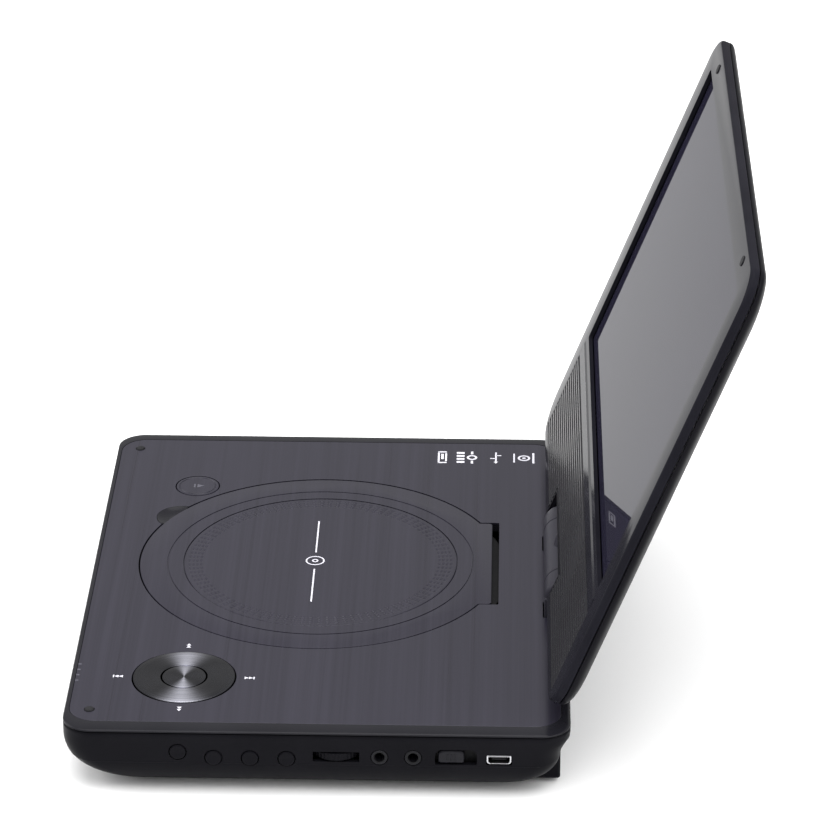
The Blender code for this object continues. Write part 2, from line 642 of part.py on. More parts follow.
def mechanism():
    """The chassis with the spindle motor, turntable, pickup sled, its rods and its drive gear."""
    chassis_top = WELL_UNDER - 1.4
    chassis_low = chassis_top - CHASSIS_THICK
    front = DOOR_Y - PICKUP_INNER - PICKUP_TRAVEL - CARRIAGE_HALF_Y - 5
    chassis = box("mech_chassis", (DOOR_X - CHASSIS_HALF, front, chassis_low),
                  (DOOR_X + CHASSIS_HALF, DOOR_Y + MOTOR_RADIUS + 4, chassis_top), STEEL)
    window = PICKUP_SLOT_HALF + 8
    cut(chassis, box("sled_window", (DOOR_X - window, front + 3, chassis_low - 1),
                     (DOOR_X + window, DOOR_Y - PICKUP_INNER + CARRIAGE_HALF_Y + 1, chassis_top + 1)))
    cut(chassis, upright("boss_window", DOOR_X, DOOR_Y, chassis_low - 1, chassis_top + 1, 6.0, sides=24))

    motor_top = chassis_low - GAP
    motor_low = motor_top - MOTOR_HEIGHT
    turned("spindle_motor", [
        (SPINDLE_RADIUS + GAP, motor_top), (MOTOR_RADIUS - 1, motor_top), (MOTOR_RADIUS, motor_top - 1),
        (MOTOR_RADIUS, motor_low + 0.6), (MOTOR_RADIUS - 0.6, motor_low), (SPINDLE_RADIUS + GAP, motor_low),
    ], (DOOR_X, DOOR_Y, 0), STEEL, steps=24)

    spin = pivot("turntable_pivot", (DOOR_X, DOOR_Y, 0))
    disc_low = WELL_FLOOR + 1.6
    turned("turntable", [
        (0, disc_low + 2.6), (HUB_RADIUS - 1.2, disc_low + 2.6), (HUB_RADIUS, disc_low + 1.4),
        (HUB_RADIUS, disc_low), (TURNTABLE_RADIUS, disc_low), (TURNTABLE_RADIUS, disc_low - 1.2),
        (5.0, disc_low - 1.6), (5.0, chassis_low + GAP), (SPINDLE_RADIUS, chassis_low + GAP),
        (SPINDLE_RADIUS, motor_low + 1), (0, motor_low + 1),
    ], (0, 0, 0), WELL, spin, steps=24)

    rod_z = chassis_low - GAP - CARRIAGE_THICK / 2
    rod_length = PICKUP_TRAVEL + 2 * CARRIAGE_HALF_Y + 10
    rod_y = DOOR_Y - PICKUP_INNER - PICKUP_TRAVEL / 2 - 1
    for side, word in ((-1, "left"), (1, "right")):
        rod(f"guide_rod_{word}", (DOOR_X + side * ROD_X, rod_y, rod_z), ROD_RADIUS, rod_length, "Y",
            STEEL, sides=16)

    sled = pivot("pickup_pivot", (DOOR_X, DOOR_Y - PICKUP_INNER, rod_z))
    y = DOOR_Y - PICKUP_INNER
    carriage = box("pickup_carriage", (DOOR_X - CARRIAGE_HALF_X, y - CARRIAGE_HALF_Y,
                                       rod_z - CARRIAGE_THICK / 2),
                   (DOOR_X + CARRIAGE_HALF_X, y + CARRIAGE_HALF_Y, rod_z + CARRIAGE_THICK / 2), DARK_METAL)
    join(carriage, box("lens_block", (DOOR_X - 9, y - 5.5, rod_z), (DOOR_X + 9, y + 5.5, WELL_UNDER - GAP)))
    for side in (-1, 1):
        cut(carriage, rod(f"rod_bore_{side + 1}", (DOOR_X + side * ROD_X, y, rod_z), ROD_RADIUS + GAP,
                          4 * CARRIAGE_HALF_Y, "Y", sides=16))
    attach(carriage, sled)
    lens = upright("pickup_lens", DOOR_X, y, WELL_UNDER, WELL_FLOOR + 0.3, LENS_RADIUS, LENS, edge=0.3,
                   sides=24)
    attach(lens, sled)

    gear_x = DOOR_X + CARRIAGE_HALF_X + GAP + SLED_GEAR_RADIUS
    gear_y = rod_y
    turn = pivot("sled_gear_pivot", (gear_x, gear_y, rod_z))
    gear = upright("sled_gear", gear_x, gear_y, rod_z - SLED_GEAR_THICK / 2, rod_z + SLED_GEAR_THICK / 2,
                   SLED_GEAR_RADIUS, WELL, edge=0.3, sides=24)
    attach(gear, turn)
    rod("sled_motor", (gear_x + 13, gear_y + 6, rod_z), 3.6, 14, "Y", STEEL, edge=0.4, sides=20)


def nav_keys():
    """The four-way ring on its rocker pad, with the round key in its middle."""
    top = DECK_HEIGHT + KEY_PROUD
    low = top - KEY_HEIGHT
    ring_out = NAV_RADIUS - KEY_CLEARANCE
    pad_top = low - 0.6
    pad_low = pad_top - 2.0
    tilt_x = pivot("nav_pad_pivot", (NAV_X, NAV_Y, pad_top))
    turned("nav_pad", [(NAV_INNER + 1, pad_top - pad_top), (12.5, 0), (12.5, pad_low - pad_top),
                       (NAV_INNER + 1, pad_low - pad_top)], (0, 0, 0), RUBBER, tilt_x, steps=20)
    tilt_y = pivot("nav_ring_pivot", (NAV_X, NAV_Y, pad_top))
    turned("nav_ring", [
        (NAV_INNER + 0.5, top - pad_top), (ring_out - 0.5, top - pad_top), (ring_out, top - 0.5 - pad_top),
        (ring_out, low - pad_top), (NAV_INNER, low - pad_top), (NAV_INNER, top - 0.5 - pad_top),
    ], (0, 0, 0), DARK_METAL, tilt_y, steps=40)
    press = pivot("nav_centre_pivot", (NAV_X, NAV_Y, low))
    cap = NAV_INNER - KEY_CLEARANCE
    turned("nav_centre_key", [
        (0, KEY_HEIGHT), (cap - 0.5, KEY_HEIGHT), (cap, KEY_HEIGHT - 0.5), (cap, 0), (5.5, 0),
        (5.5, -2.0), (0, -2.0),
    ], (0, 0, 0), DARK_METAL, press, steps=24)
    board_top = pad_low - 1.1
    box("nav_switch_board", (NAV_X - 16, NAV_Y - 16, board_top - BOARD_THICK), (NAV_X + 16, NAV_Y + 16,
        board_top),
        BOARD)


def open_key_and_latch():
    press = pivot("open_key_pivot", (OPEN_X, OPEN_Y, DECK_HEIGHT))
    key = upright("open_key", OPEN_X, OPEN_Y, DECK_HEIGHT - KEY_HEIGHT - 2, DECK_HEIGHT + 0.1,
                  OPEN_RADIUS, GLOSS, edge=0.4, sides=32)
    attach(key, press)
    near = CATCH_NEAR + CATCH_DEPTH + 2 * GAP
    slide = pivot("door_latch_pivot", (*toward_latch(near), WELL_FLOOR))
    far = math.hypot(OPEN_X - DOOR_X, OPEN_Y - DOOR_Y) + LATCH_PAST_KEY
    latch = latch_block("door_latch", near, far, LATCH_WIDTH / 2, WELL_UNDER,
                        COVER_LOW - GAP - WELL_FLANGE_THICK - 2 * GAP, WELL)
    attach(latch, slide)


def deck_bumpers():
    for side, word in ((-1, "left"), (1, "right")):
        upright(f"deck_bumper_{word}", side * BUMPER_X, BUMPER_Y, PLATE_LOW - 0.6, DECK_HEIGHT + BUMPER_PROUD,
                BUMPER_RADIUS, RUBBER, edge=0.4, sides=20)


def side_keys():
    for number, (y, drop) in enumerate(zip(SIDE_KEY_Y, SIDE_KEY_DROP), 1):
        outer = HALF_WIDTH + SIDE_KEY_PROUD
        centre = (outer - SIDE_KEY_LENGTH / 2, y, DECK_HEIGHT - drop)
        press = pivot(f"side_key_{number}_pivot", centre)
        attach(rod(f"side_key_{number}", centre, SIDE_KEY_RADIUS, SIDE_KEY_LENGTH, "X", CASE, edge=0.4,
                   sides=20), press)


def volume_control():
    x = HALF_WIDTH + WHEEL_PROUD - WHEEL_RADIUS
    z = DECK_HEIGHT - WHEEL_DROP
    turn = pivot("volume_wheel_pivot", (x, WHEEL_Y, z))
    attach(upright("volume_wheel", x, WHEEL_Y, z - WHEEL_THICK / 2, z + WHEEL_THICK / 2, WHEEL_RADIUS, CASE,
                   edge=0.3, sides=36), turn)
    pot_top = z - WHEEL_THICK / 2 - 2 * GAP
    box("volume_pot", (x - 5, WHEEL_Y - 5, BOARD_Z + BOARD_THICK + GAP), (x + 4, WHEEL_Y + 5, pot_top),
        WELL, edge=0.3)


def jacks():
    """The two round sockets: a body on the board and a barrel through the wall."""
    z = DECK_HEIGHT - JACK_DROP
    for y, name in zip(JACK_Y, ("headphone_jack", "av_jack")):
        inner = HALF_WIDTH - WALL - GAP - 12
        piece = box(name, (inner, y - 4.2, BOARD_Z + BOARD_THICK + GAP), (HALF_WIDTH - WALL - JACK_SETBACK,
                    y + 4.2, z + 3.6),
                    GLOSS)
        join(piece, rod(f"{name}_barrel", (HALF_WIDTH - 3, y, z), JACK_BARREL, 5.8, "X"))
        cut(piece, rod(f"{name}_bore", (HALF_WIDTH + 2 - JACK_DEPTH / 2, y, z), JACK_BORE, JACK_DEPTH, "X",
                       sides=20))


def power_switch():
    z = DECK_HEIGHT - SWITCH_DROP
    face = HALF_WIDTH - WALL - 0.8
    box("switch_body", (face - 6, SWITCH_Y - SWITCH_WIDTH / 2 - 1, z - SWITCH_HEIGHT / 2 - 1),
        (face - 0.6, SWITCH_Y + SWITCH_WIDTH / 2 + 1, z + SWITCH_HEIGHT / 2 + 1), WELL)
    slide = pivot("power_switch_pivot", (face, SWITCH_Y, z))
    knob = box("power_switch", (face - 0.3, SWITCH_Y - SWITCH_KNOB - 0.6, z - SWITCH_HEIGHT / 2 + 0.5),
               (HALF_WIDTH - 0.2, SWITCH_Y + SWITCH_KNOB - 0.6 - 2,
                z + SWITCH_HEIGHT / 2 - 0.5), GLOSS, edge=0.4)
    attach(knob, slide)


def usb_port():
    z = DECK_HEIGHT - PORT_DROP
    half = PORT_WIDTH / 2
    outer = HALF_WIDTH - 0.3
    piece = box("usb_port", (outer - PORT_DEPTH, PORT_Y - half, z - PORT_HEIGHT / 2),
                (outer, PORT_Y + half, z + PORT_HEIGHT / 2), STEEL)
    cut(piece, box("port_mouth", (outer - PORT_DEPTH + 1, PORT_Y - half + PORT_WALL,
                                  z - PORT_HEIGHT / 2 + PORT_WALL),
                   (outer + 1, PORT_Y + half - PORT_WALL, z + PORT_HEIGHT / 2 - PORT_WALL)))


def back_block_front():
    """Where the battery cover's front edge lies along Y."""
    return HALF_DEPTH - BACK_BLOCK_REAR - BACK_BLOCK_DEPTH


def boards_and_battery():
    board_outer = HALF_WIDTH - 8.5
    box("main_board", (SCREW_X + 4.5, -60, BOARD_Z), (board_outer, back_block_front() - 6,
                                                      BOARD_Z + BOARD_THICK), BOARD)
    box("battery_pack", (-HALF_WIDTH + 10.5, -52, BATTERY_Z), (-SCREW_X - 20, 50,
        BATTERY_Z + BATTERY_HEIGHT), CELL,
        edge=1.0)


def battery_cover():
    """The long block under the rear edge: a tray that closes the battery bay and is the rear rest."""
    rear = HALF_DEPTH - BACK_BLOCK_REAR
    piece = box("battery_cover", (-BACK_BLOCK_HALF, back_block_front(), 0.2), (BACK_BLOCK_HALF, rear,
                BACK_BLOCK_HEIGHT),
                CASE, edge=0.7)
    wall = BACK_BLOCK_WALL
    cut(piece, box("battery_cover_hollow", (wall - BACK_BLOCK_HALF, back_block_front() + wall, 0.2 + wall),
                   (BACK_BLOCK_HALF - wall, rear - wall, BACK_BLOCK_HEIGHT + 1)))


def feet_and_screws():
    for row, y_foot, y_screw in (("front", FOOT_FRONT_Y, SCREW_FRONT_Y), ("rear", FOOT_REAR_Y, SCREW_REAR_Y)):
        for side, word in ((-1, "left"), (1, "right")):
            upright(f"foot_{row}_{word}", side * FOOT_X, y_foot, -FOOT_HEIGHT, -GAP, FOOT_RADIUS, RUBBER,
                    edge=0.3, sides=20)
            turned(f"case_screw_{row}_{word}", [
                (0, SCREW_LENGTH), (SCREW_SHANK, SCREW_LENGTH), (SCREW_SHANK, 2.0), (SCREW_HEAD, 2.0),
                (SCREW_HEAD, 0.7), (SCREW_HEAD - 0.4, 0.4), (1.0, 0.4), (1.0, 1.2), (0, 1.2),
            ], (side * SCREW_X, y_screw, 0), STEEL, steps=10)


def hinge_bracket():
    """Two lugs of the hinge barrel, whose necks go through the deck to one plate inside the base."""
    front = TILT_Y - BARREL_RADIUS
    piece = box("hinge_bracket", (-BARREL_HALF, DOOR_AXIS_Y + 8, BRACKET_Z),
                (BARREL_HALF, front + LUG_NECK, BRACKET_Z + BRACKET_THICK))
    for side, word in ((-1, "left"), (1, "right")):
        low = side * (KNUCKLE_HALF + 2 * GAP)
        high = side * BARREL_HALF
        neck = box(f"lug_neck_{word}", (min(low, high), front, BRACKET_Z + BRACKET_THICK / 2),
                   (max(low, high), front + LUG_NECK, TILT_Z))
        barrel = rod(f"lug_barrel_{word}", ((low + high) / 2, TILT_Y, TILT_Z), BARREL_RADIUS, abs(high - low),
                     "X", sides=32)
        join(piece, neck, barrel)
    cut(piece, rod("tilt_bore", (0, TILT_Y, TILT_Z), SHAFT_RADIUS + GAP, 2 * BARREL_HALF - 4 + GAP, "X",
                   sides=24))
    return piece


def tilt_shaft():
    return rod("tilt_shaft", (0, TILT_Y, TILT_Z), SHAFT_RADIUS, 2 * BARREL_HALF - 4 - GAP, "X", STEEL,
               sides=24)


def tilt_knuckle(lean):
    """The hinge barrel's middle, with a short neck that the screen swivels on."""
    piece = rod("tilt_knuckle", (0, 0, 0), BARREL_RADIUS, 2 * KNUCKLE_HALF, "X", CASE, lean, sides=32)
    neck = upright("knuckle_neck", 0, 0, 0, NOTCH_TOP - GAP, BARREL_RADIUS - 0.7, CASE, lean)
    join(piece, neck)
    cut(piece, rod("knuckle_bore", (0, 0, 0), SHAFT_RADIUS + GAP, 2 * KNUCKLE_HALF + 2, "X", CASE, lean,
                   sides=24))
    cut(piece, upright("swivel_bore", 0, 0, SHAFT_RADIUS + GAP + 1, NOTCH_TOP + 2, POST_RADIUS + GAP, CASE,
                       lean, sides=24))


def screen_ring(y, inset):
    """A ring of the screen's outline at a depth y, brought in all round."""
    low_corner = SCREEN_LOW_CORNER - inset / 2
    top_corner = SCREEN_TOP_CORNER - inset / 2
    outline = rounded_outline(inset - HALF_WIDTH, HALF_WIDTH - inset, SCREEN_LOW + inset, SCREEN_TOP - inset,
                              (low_corner, low_corner, top_corner, top_corner))
    return [(x, y, z) for x, z in outline]


def notch_cut(name, screen, y_low, y_high):
    """A tool for the hinge notch."""
    return box(name, (-NOTCH_HALF, y_low, SCREEN_LOW - 1), (NOTCH_HALF, y_high, NOTCH_TOP), CASE, screen)


def notch_wall(name, screen, y_low, y_high):
    """The block that is left as a wall round the hinge notch."""
    reach = NOTCH_HALF + BEZEL_WALL
    return box(name, (-reach, y_low, SCREEN_LOW + BEZEL_WALL / 3), (reach, y_high, NOTCH_TOP + BEZEL_WALL),
               CASE, screen)


def screen_bezel(screen):
    face = SCREEN_FACE
    rings = [screen_ring(face, BEZEL_CHAMFER), screen_ring(face + BEZEL_CHAMFER, 0),
             screen_ring(SCREEN_SEAM, 0)]
    piece = loft("screen_bezel", rings, GLOSS, screen, close_top=False)
    solidify(piece, BEZEL_WALL)
    join(piece, notch_wall("bezel_notch_wall", screen, face + 0.7 * BEZEL_WALL, SCREEN_SEAM - GAP))
    cut(piece, notch_cut("bezel_notch", screen, face - 1, SCREEN_SEAM + 1))
    cut(piece, box("display_window", (-DISPLAY_WIDTH / 2, face - 1, DISPLAY_LOW),
                   (DISPLAY_WIDTH / 2, SCREEN_SEAM + 1, DISPLAY_HIGH), CASE, screen))
    cut(piece, box("grille_recess", (-GRILLE_HALF - GAP, face - 1, GRILLE_LOW - GAP),
                   (GRILLE_HALF + GAP, face + GRILLE_THICK + GAP, GRILLE_TOP + GAP), CASE, screen))
    for side, word in ((-1, "left"), (1, "right")):
        cut(piece, rod(f"pad_seat_{word}", (side * PAD_X, face, SCREEN_TOP - DISPLAY_TOP / 2),
                       PAD_RADIUS + GAP,
                       1.6, "Y", CASE, screen, sides=16))


def speaker_grille(screen):
    face = SCREEN_FACE
    piece = box("speaker_grille", (-GRILLE_HALF, face, GRILLE_LOW),
                (GRILLE_HALF, face + GRILLE_THICK, GRILLE_TOP), CASE, screen)
    cut(piece, box("grille_notch", (-NOTCH_HALF - BEZEL_WALL, face - 1, GRILLE_LOW - 2),
                   (NOTCH_HALF + BEZEL_WALL, face + 2, NOTCH_TOP + BEZEL_WALL), CASE, screen))


def dome_rings():
    """Rings from the flat of the domed back out to the seam."""
    steps = 6
    rings = []
    for step in range(steps + 1):
        angle = math.radians(90 * step / steps)
        share = 1 - math.sin(angle)
        outline = rounded_outline(
            DOME_SIDE * share - HALF_WIDTH, HALF_WIDTH - DOME_SIDE * share,
            SCREEN_LOW + DOME_LOW * share, SCREEN_TOP - DOME_TOP * share,
            (SCREEN_LOW_CORNER, SCREEN_LOW_CORNER, SCREEN_TOP_CORNER, SCREEN_TOP_CORNER))
        y = SCREEN_BACK - DOME_DEPTH * (1 - math.cos(angle))
        rings.append([(x, y, z) for x, z in outline])
    rings.append(screen_ring(SCREEN_SEAM + GAP, 0))
    return rings


def screen_back_shell(screen):
    """The rear shell: a broad dome that thins to a narrow rim at the sides and top."""
    start = SCREEN_SEAM + GAP
    piece = loft("screen_back_shell", dome_rings(), CASE, screen, close_top=False)
    solidify(piece, BEZEL_WALL)
    wall = notch_wall("back_notch_wall", screen, start + GAP, SCREEN_BACK + 1)
    boolean(wall, loft("back_volume", dome_rings(), CASE, screen), "INTERSECT")
    join(piece, wall)
    cut(piece, notch_cut("back_notch", screen, start - 1, SCREEN_BACK + 1))
    cut(piece, upright("post_hole_back", 0, 0, NOTCH_TOP - 1, NOTCH_TOP + 6, POST_RADIUS + GAP, CASE, screen,
                       sides=24))


def screen_inside(screen):
    """The display panel, its board, two speakers and the post that the screen swivels on."""
    panel_face = SCREEN_FACE + BEZEL_WALL + GAP
    panel_back = panel_face + PANEL_THICK
    box("lcd_panel", (-DISPLAY_WIDTH / 2 - PANEL_LAP, panel_face, DISPLAY_LOW - PANEL_LAP),
        (DISPLAY_WIDTH / 2 + PANEL_LAP, panel_back, DISPLAY_HIGH + PANEL_LAP), DISPLAY, screen)
    box("driver_board", (-70, panel_back + 0.6, DISPLAY_LOW + 8), (30, panel_back + 0.6 + BOARD_THICK,
        DISPLAY_LOW + 48),
        BOARD, screen)
    for side, word in ((-1, "left"), (1, "right")):
        x = side * SPEAKER_X
        middle = (GRILLE_LOW + GRILLE_TOP) / 2
        box(f"speaker_{word}", (x - SPEAKER_LENGTH / 2, panel_face, middle - SPEAKER_WIDTH / 2),
            (x + SPEAKER_LENGTH / 2, panel_face + 5, middle + SPEAKER_WIDTH / 2), WELL, screen, edge=1.5)
        rod(f"screen_pad_{word}", (side * PAD_X, SCREEN_FACE + 0.1, SCREEN_TOP - DISPLAY_TOP / 2), PAD_RADIUS,
            0.8, "Y", RUBBER, screen, sides=12)
    flange_low = NOTCH_TOP + BEZEL_WALL + GAP
    turned("swivel_post", [
        (0, POST_LENGTH), (POST_RADIUS, POST_LENGTH), (POST_RADIUS, flange_low + 2),
        (SCREEN_BACK - BEZEL_WALL - GAP - 0.4, flange_low + 2), (SCREEN_BACK - BEZEL_WALL - GAP - 0.4,
                flange_low),
        (POST_RADIUS, flange_low), (POST_RADIUS, SHAFT_RADIUS + 2 * GAP + 1.2), (0,
                SHAFT_RADIUS + 2 * GAP + 1.2),
    ], (0, 0, 0), STEEL, screen, steps=24)


base_bottom_shell()
base_top_cover()
deck_plate()
disc_well()
disc_door()
door_hinge_pin()
mechanism()
nav_keys()
open_key_and_latch()
deck_bumpers()
side_keys()
volume_control()
jacks()
power_switch()
usb_port()
boards_and_battery()
battery_cover()
feet_and_screws()
hinge_bracket()
tilt_shaft()

tilt = pivot("tilt_pivot", (0, TILT_Y, TILT_Z), lean=-LEAN_BACK)
tilt_knuckle(tilt)
swivel = pivot("swivel_pivot", (0, 0, 0), tilt)
screen_bezel(swivel)
speaker_grille(swivel)
screen_back_shell(swivel)
screen_inside(swivel)
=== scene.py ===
"""Looks for the portable DVD player: detailed shells, procedural materials, light and camera."""

import json
import math

import bmesh
import bpy
from mathutils import Matrix, Vector


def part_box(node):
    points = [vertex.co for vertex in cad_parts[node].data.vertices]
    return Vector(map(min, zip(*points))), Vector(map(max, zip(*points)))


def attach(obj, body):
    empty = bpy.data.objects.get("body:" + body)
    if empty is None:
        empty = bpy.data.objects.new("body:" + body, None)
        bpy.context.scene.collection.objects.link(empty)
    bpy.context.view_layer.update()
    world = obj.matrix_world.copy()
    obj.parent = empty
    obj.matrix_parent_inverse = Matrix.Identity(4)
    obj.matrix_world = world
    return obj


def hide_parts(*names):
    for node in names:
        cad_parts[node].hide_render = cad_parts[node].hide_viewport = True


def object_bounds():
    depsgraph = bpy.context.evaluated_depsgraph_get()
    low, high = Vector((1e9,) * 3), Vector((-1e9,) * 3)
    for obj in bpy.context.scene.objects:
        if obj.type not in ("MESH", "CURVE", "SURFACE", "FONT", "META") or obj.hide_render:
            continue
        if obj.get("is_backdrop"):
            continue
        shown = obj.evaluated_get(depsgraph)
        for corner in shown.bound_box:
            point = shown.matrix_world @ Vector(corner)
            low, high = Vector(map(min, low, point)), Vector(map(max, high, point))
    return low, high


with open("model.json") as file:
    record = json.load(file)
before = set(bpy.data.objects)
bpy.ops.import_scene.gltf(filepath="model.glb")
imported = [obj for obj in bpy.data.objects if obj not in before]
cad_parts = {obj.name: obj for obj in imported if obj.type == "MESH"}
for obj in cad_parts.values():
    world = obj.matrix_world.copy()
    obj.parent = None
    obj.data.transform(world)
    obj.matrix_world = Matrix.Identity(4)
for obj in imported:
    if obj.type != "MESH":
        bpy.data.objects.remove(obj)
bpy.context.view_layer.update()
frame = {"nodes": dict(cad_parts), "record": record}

MM = 0.001
NODES = frame["nodes"]
JOINTS = {joint["name"]: joint for joint in frame["record"]["behaviour"]["joints"]}


def extent(node):
    """A CAD node's low and high corners in millimetres."""
    low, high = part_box(node)
    return Vector(low) / MM, Vector(high) / MM


COVER_LOW, COVER_HIGH = extent("base_top_cover")
PLATE_LOW, PLATE_HIGH = extent("deck_plate")
SEAM = extent("base_bottom_shell")[1].z
DOOR_LOW, DOOR_HIGH = extent("disc_door")
NAV_LOW, NAV_HIGH = extent("nav_ring")
HALF_X = COVER_HIGH.x
HALF_Y = COVER_HIGH.y
DECK = PLATE_HIGH.z
DOOR_X = (DOOR_LOW.x + DOOR_HIGH.x) / 2
DOOR_RADIUS = (DOOR_HIGH.x - DOOR_LOW.x) / 2
DOOR_Y = DOOR_LOW.y + DOOR_RADIUS
NAV_X = (NAV_LOW.x + NAV_HIGH.x) / 2
NAV_Y = (NAV_LOW.y + NAV_HIGH.y) / 2
TILT = Vector(JOINTS["screen_tilt"]["pos_m"]) / MM
LEAN = math.atan2(JOINTS["screen_swivel"]["axis"][1], JOINTS["screen_swivel"]["axis"][2])
SCREEN_PLACE = Matrix.Translation(TILT) @ Matrix.Rotation(-LEAN, 4, "X")
DOOR_UNDER = DECK - 2.2
FINE = 10


# Materials

def new_material(name):
    """A material with its node tree, shader and object coordinates."""
    made = bpy.data.materials.new(name)
    made.use_nodes = True
    tree = made.node_tree
    coords = tree.nodes.new("ShaderNodeTexCoord")
    return made, tree, tree.nodes["Principled BSDF"], coords.outputs["Object"]


def stretched_noise(tree, coords, scale, detail):
    """Noise at a scale per metre along each axis."""
    mapping = tree.nodes.new("ShaderNodeMapping")
    mapping.inputs["Scale"].default_value = scale
    noise = tree.nodes.new("ShaderNodeTexNoise")
    noise.inputs["Scale"].default_value = 1.0
    noise.inputs["Detail"].default_value = detail
    tree.links.new(coords, mapping.inputs["Vector"])
    tree.links.new(mapping.outputs["Vector"], noise.inputs["Vector"])
    return noise.outputs["Fac"]


def maths(tree, kind, operation, *values):
    """A Math or VectorMath node's output; each value is an output to link or a constant."""
    node = tree.nodes.new(kind)
    node.operation = operation
    for socket, value in zip(node.inputs, values):
        if isinstance(value, bpy.types.NodeSocket):
            tree.links.new(value, socket)
        else:
            socket.default_value = value
    return node.outputs["Value"] if operation == "LENGTH" else node.outputs[0]


def ranged(tree, value, low, high, start=0.3, end=0.7):
    """A noise value spread over a range."""
    node = tree.nodes.new("ShaderNodeMapRange")
    node.inputs["From Min"].default_value = start
    node.inputs["From Max"].default_value = end
    node.inputs["To Min"].default_value = low
    node.inputs["To Max"].default_value = high
    tree.links.new(value, node.inputs["Value"])
    return node.outputs["Result"]


def tinted(tree, value, dark, light):
    """A colour between two by a noise value."""
    node = tree.nodes.new("ShaderNodeMix")
    node.data_type = "RGBA"
    node.inputs["A"].default_value = (*dark, 1.0)
    node.inputs["B"].default_value = (*light, 1.0)
    tree.links.new(value, node.inputs["Factor"])
    return node.outputs["Result"]


def bumped(tree, shader, value, strength, depth):
    """Feed a height into the shader's normal."""
    node = tree.nodes.new("ShaderNodeBump")
    node.inputs["Strength"].default_value = strength
    node.inputs["Distance"].default_value = depth * MM
    tree.links.new(value, node.inputs["Height"])
    tree.links.new(node.outputs["Normal"], shader.inputs["Normal"])


def plastic(name, dark, light, rough, grain, depth, strength=0.5, metallic=0.0, shine=0.15, ior=1.5):
    """Moulded plastic or rubber with a fine grain and slow changes of tone and polish."""
    made, tree, shader, coords = new_material(name)
    slow = stretched_noise(tree, coords, (35, 35, 35), 3.0)
    fine = stretched_noise(tree, coords, (grain,) * 3, 2.0)
    tree.links.new(tinted(tree, ranged(tree, slow, 0, 1), dark, light), shader.inputs["Base Color"])
    tree.links.new(ranged(tree, slow, rough[0], rough[1]), shader.inputs["Roughness"])
    bumped(tree, shader, fine, strength, depth)
    shader.inputs["Metallic"].default_value = metallic
    shader.inputs["Specular IOR Level"].default_value = shine
    shader.inputs["IOR"].default_value = ior
    return made


def brushed(name, dark, light, rough, along, metallic, coat):
    """A hairline finish whose streaks run along X, under a clear lacquer."""
    made, tree, shader, coords = new_material(name)
    broad = stretched_noise(tree, coords, (along, 420, 20), 3.0)
    hair = stretched_noise(tree, coords, (along, 1900, 20), 5.0)
    share = maths(tree, "ShaderNodeMath", "MULTIPLY", hair, 0.45)
    streak = maths(tree, "ShaderNodeMath", "MULTIPLY_ADD", broad, 0.55, share)
    tone = tinted(tree, ranged(tree, streak, 0, 1, 0.35, 0.65), dark, light)
    tree.links.new(tone, shader.inputs["Base Color"])
    tree.links.new(ranged(tree, streak, rough[0], rough[1]), shader.inputs["Roughness"])
    bumped(tree, shader, hair, 0.25, 0.012)
    shader.inputs["Metallic"].default_value = metallic
    shader.inputs["Specular IOR Level"].default_value = 0.2
    shader.inputs["Coat Weight"].default_value = coat
    shader.inputs["Coat Roughness"].default_value = 0.12
    return made


def spun_with_painted_highlight(name, colour, centre):
    """Spun dark metal: fine rings about a centre, and painted highlights in the base colour that open out
    from it as two wedges along X.
    """
    made, tree, shader, coords = new_material(name)
    from_centre = maths(tree, "ShaderNodeVectorMath", "SUBTRACT", coords,
                        (centre[0] * MM, centre[1] * MM, 0.0))
    flat = maths(tree, "ShaderNodeVectorMath", "MULTIPLY", from_centre, (1.0, 1.0, 0.0))
    noise = tree.nodes.new("ShaderNodeTexNoise")
    noise.noise_dimensions = "1D"
    noise.inputs["Scale"].default_value = 2600.0
    noise.inputs["Detail"].default_value = 3.0
    tree.links.new(maths(tree, "ShaderNodeVectorMath", "LENGTH", flat), noise.inputs["W"])
    split = tree.nodes.new("ShaderNodeSeparateXYZ")
    tree.links.new(maths(tree, "ShaderNodeVectorMath", "NORMALIZE", flat), split.inputs["Vector"])
    # painted highlight: two bright wedges along X, from the X share of the direction raised to a high power
    square = maths(tree, "ShaderNodeMath", "MULTIPLY", split.outputs["X"], split.outputs["X"])
    painted_highlight_wedges = maths(tree, "ShaderNodeMath", "POWER", square, 9.0)
    # rings here holds the painted highlight wedges times the ring grain, not the grain alone
    rings = maths(tree, "ShaderNodeMath", "MULTIPLY", painted_highlight_wedges, ranged(tree, noise.outputs["Fac"], 0.5, 1.0))
    dark = tuple(part * 0.4 for part in colour)
    # light is the painted highlight's colour, eleven times the metal's own
    light = tuple(part * 11 for part in colour)
    tree.links.new(tinted(tree, rings, dark, light), shader.inputs["Base Color"])
    tree.links.new(ranged(tree, noise.outputs["Fac"], 0.2, 0.32), shader.inputs["Roughness"])
    bumped(tree, shader, noise.outputs["Fac"], 0.12, 0.01)
    tangent = tree.nodes.new("ShaderNodeTangent")
    tangent.direction_type = "RADIAL"
    tangent.axis = "Z"
    tree.links.new(tangent.outputs["Tangent"], shader.inputs["Tangent"])
    shader.inputs["Metallic"].default_value = 1.0
    shader.inputs["Anisotropic"].default_value = 0.92
    return made


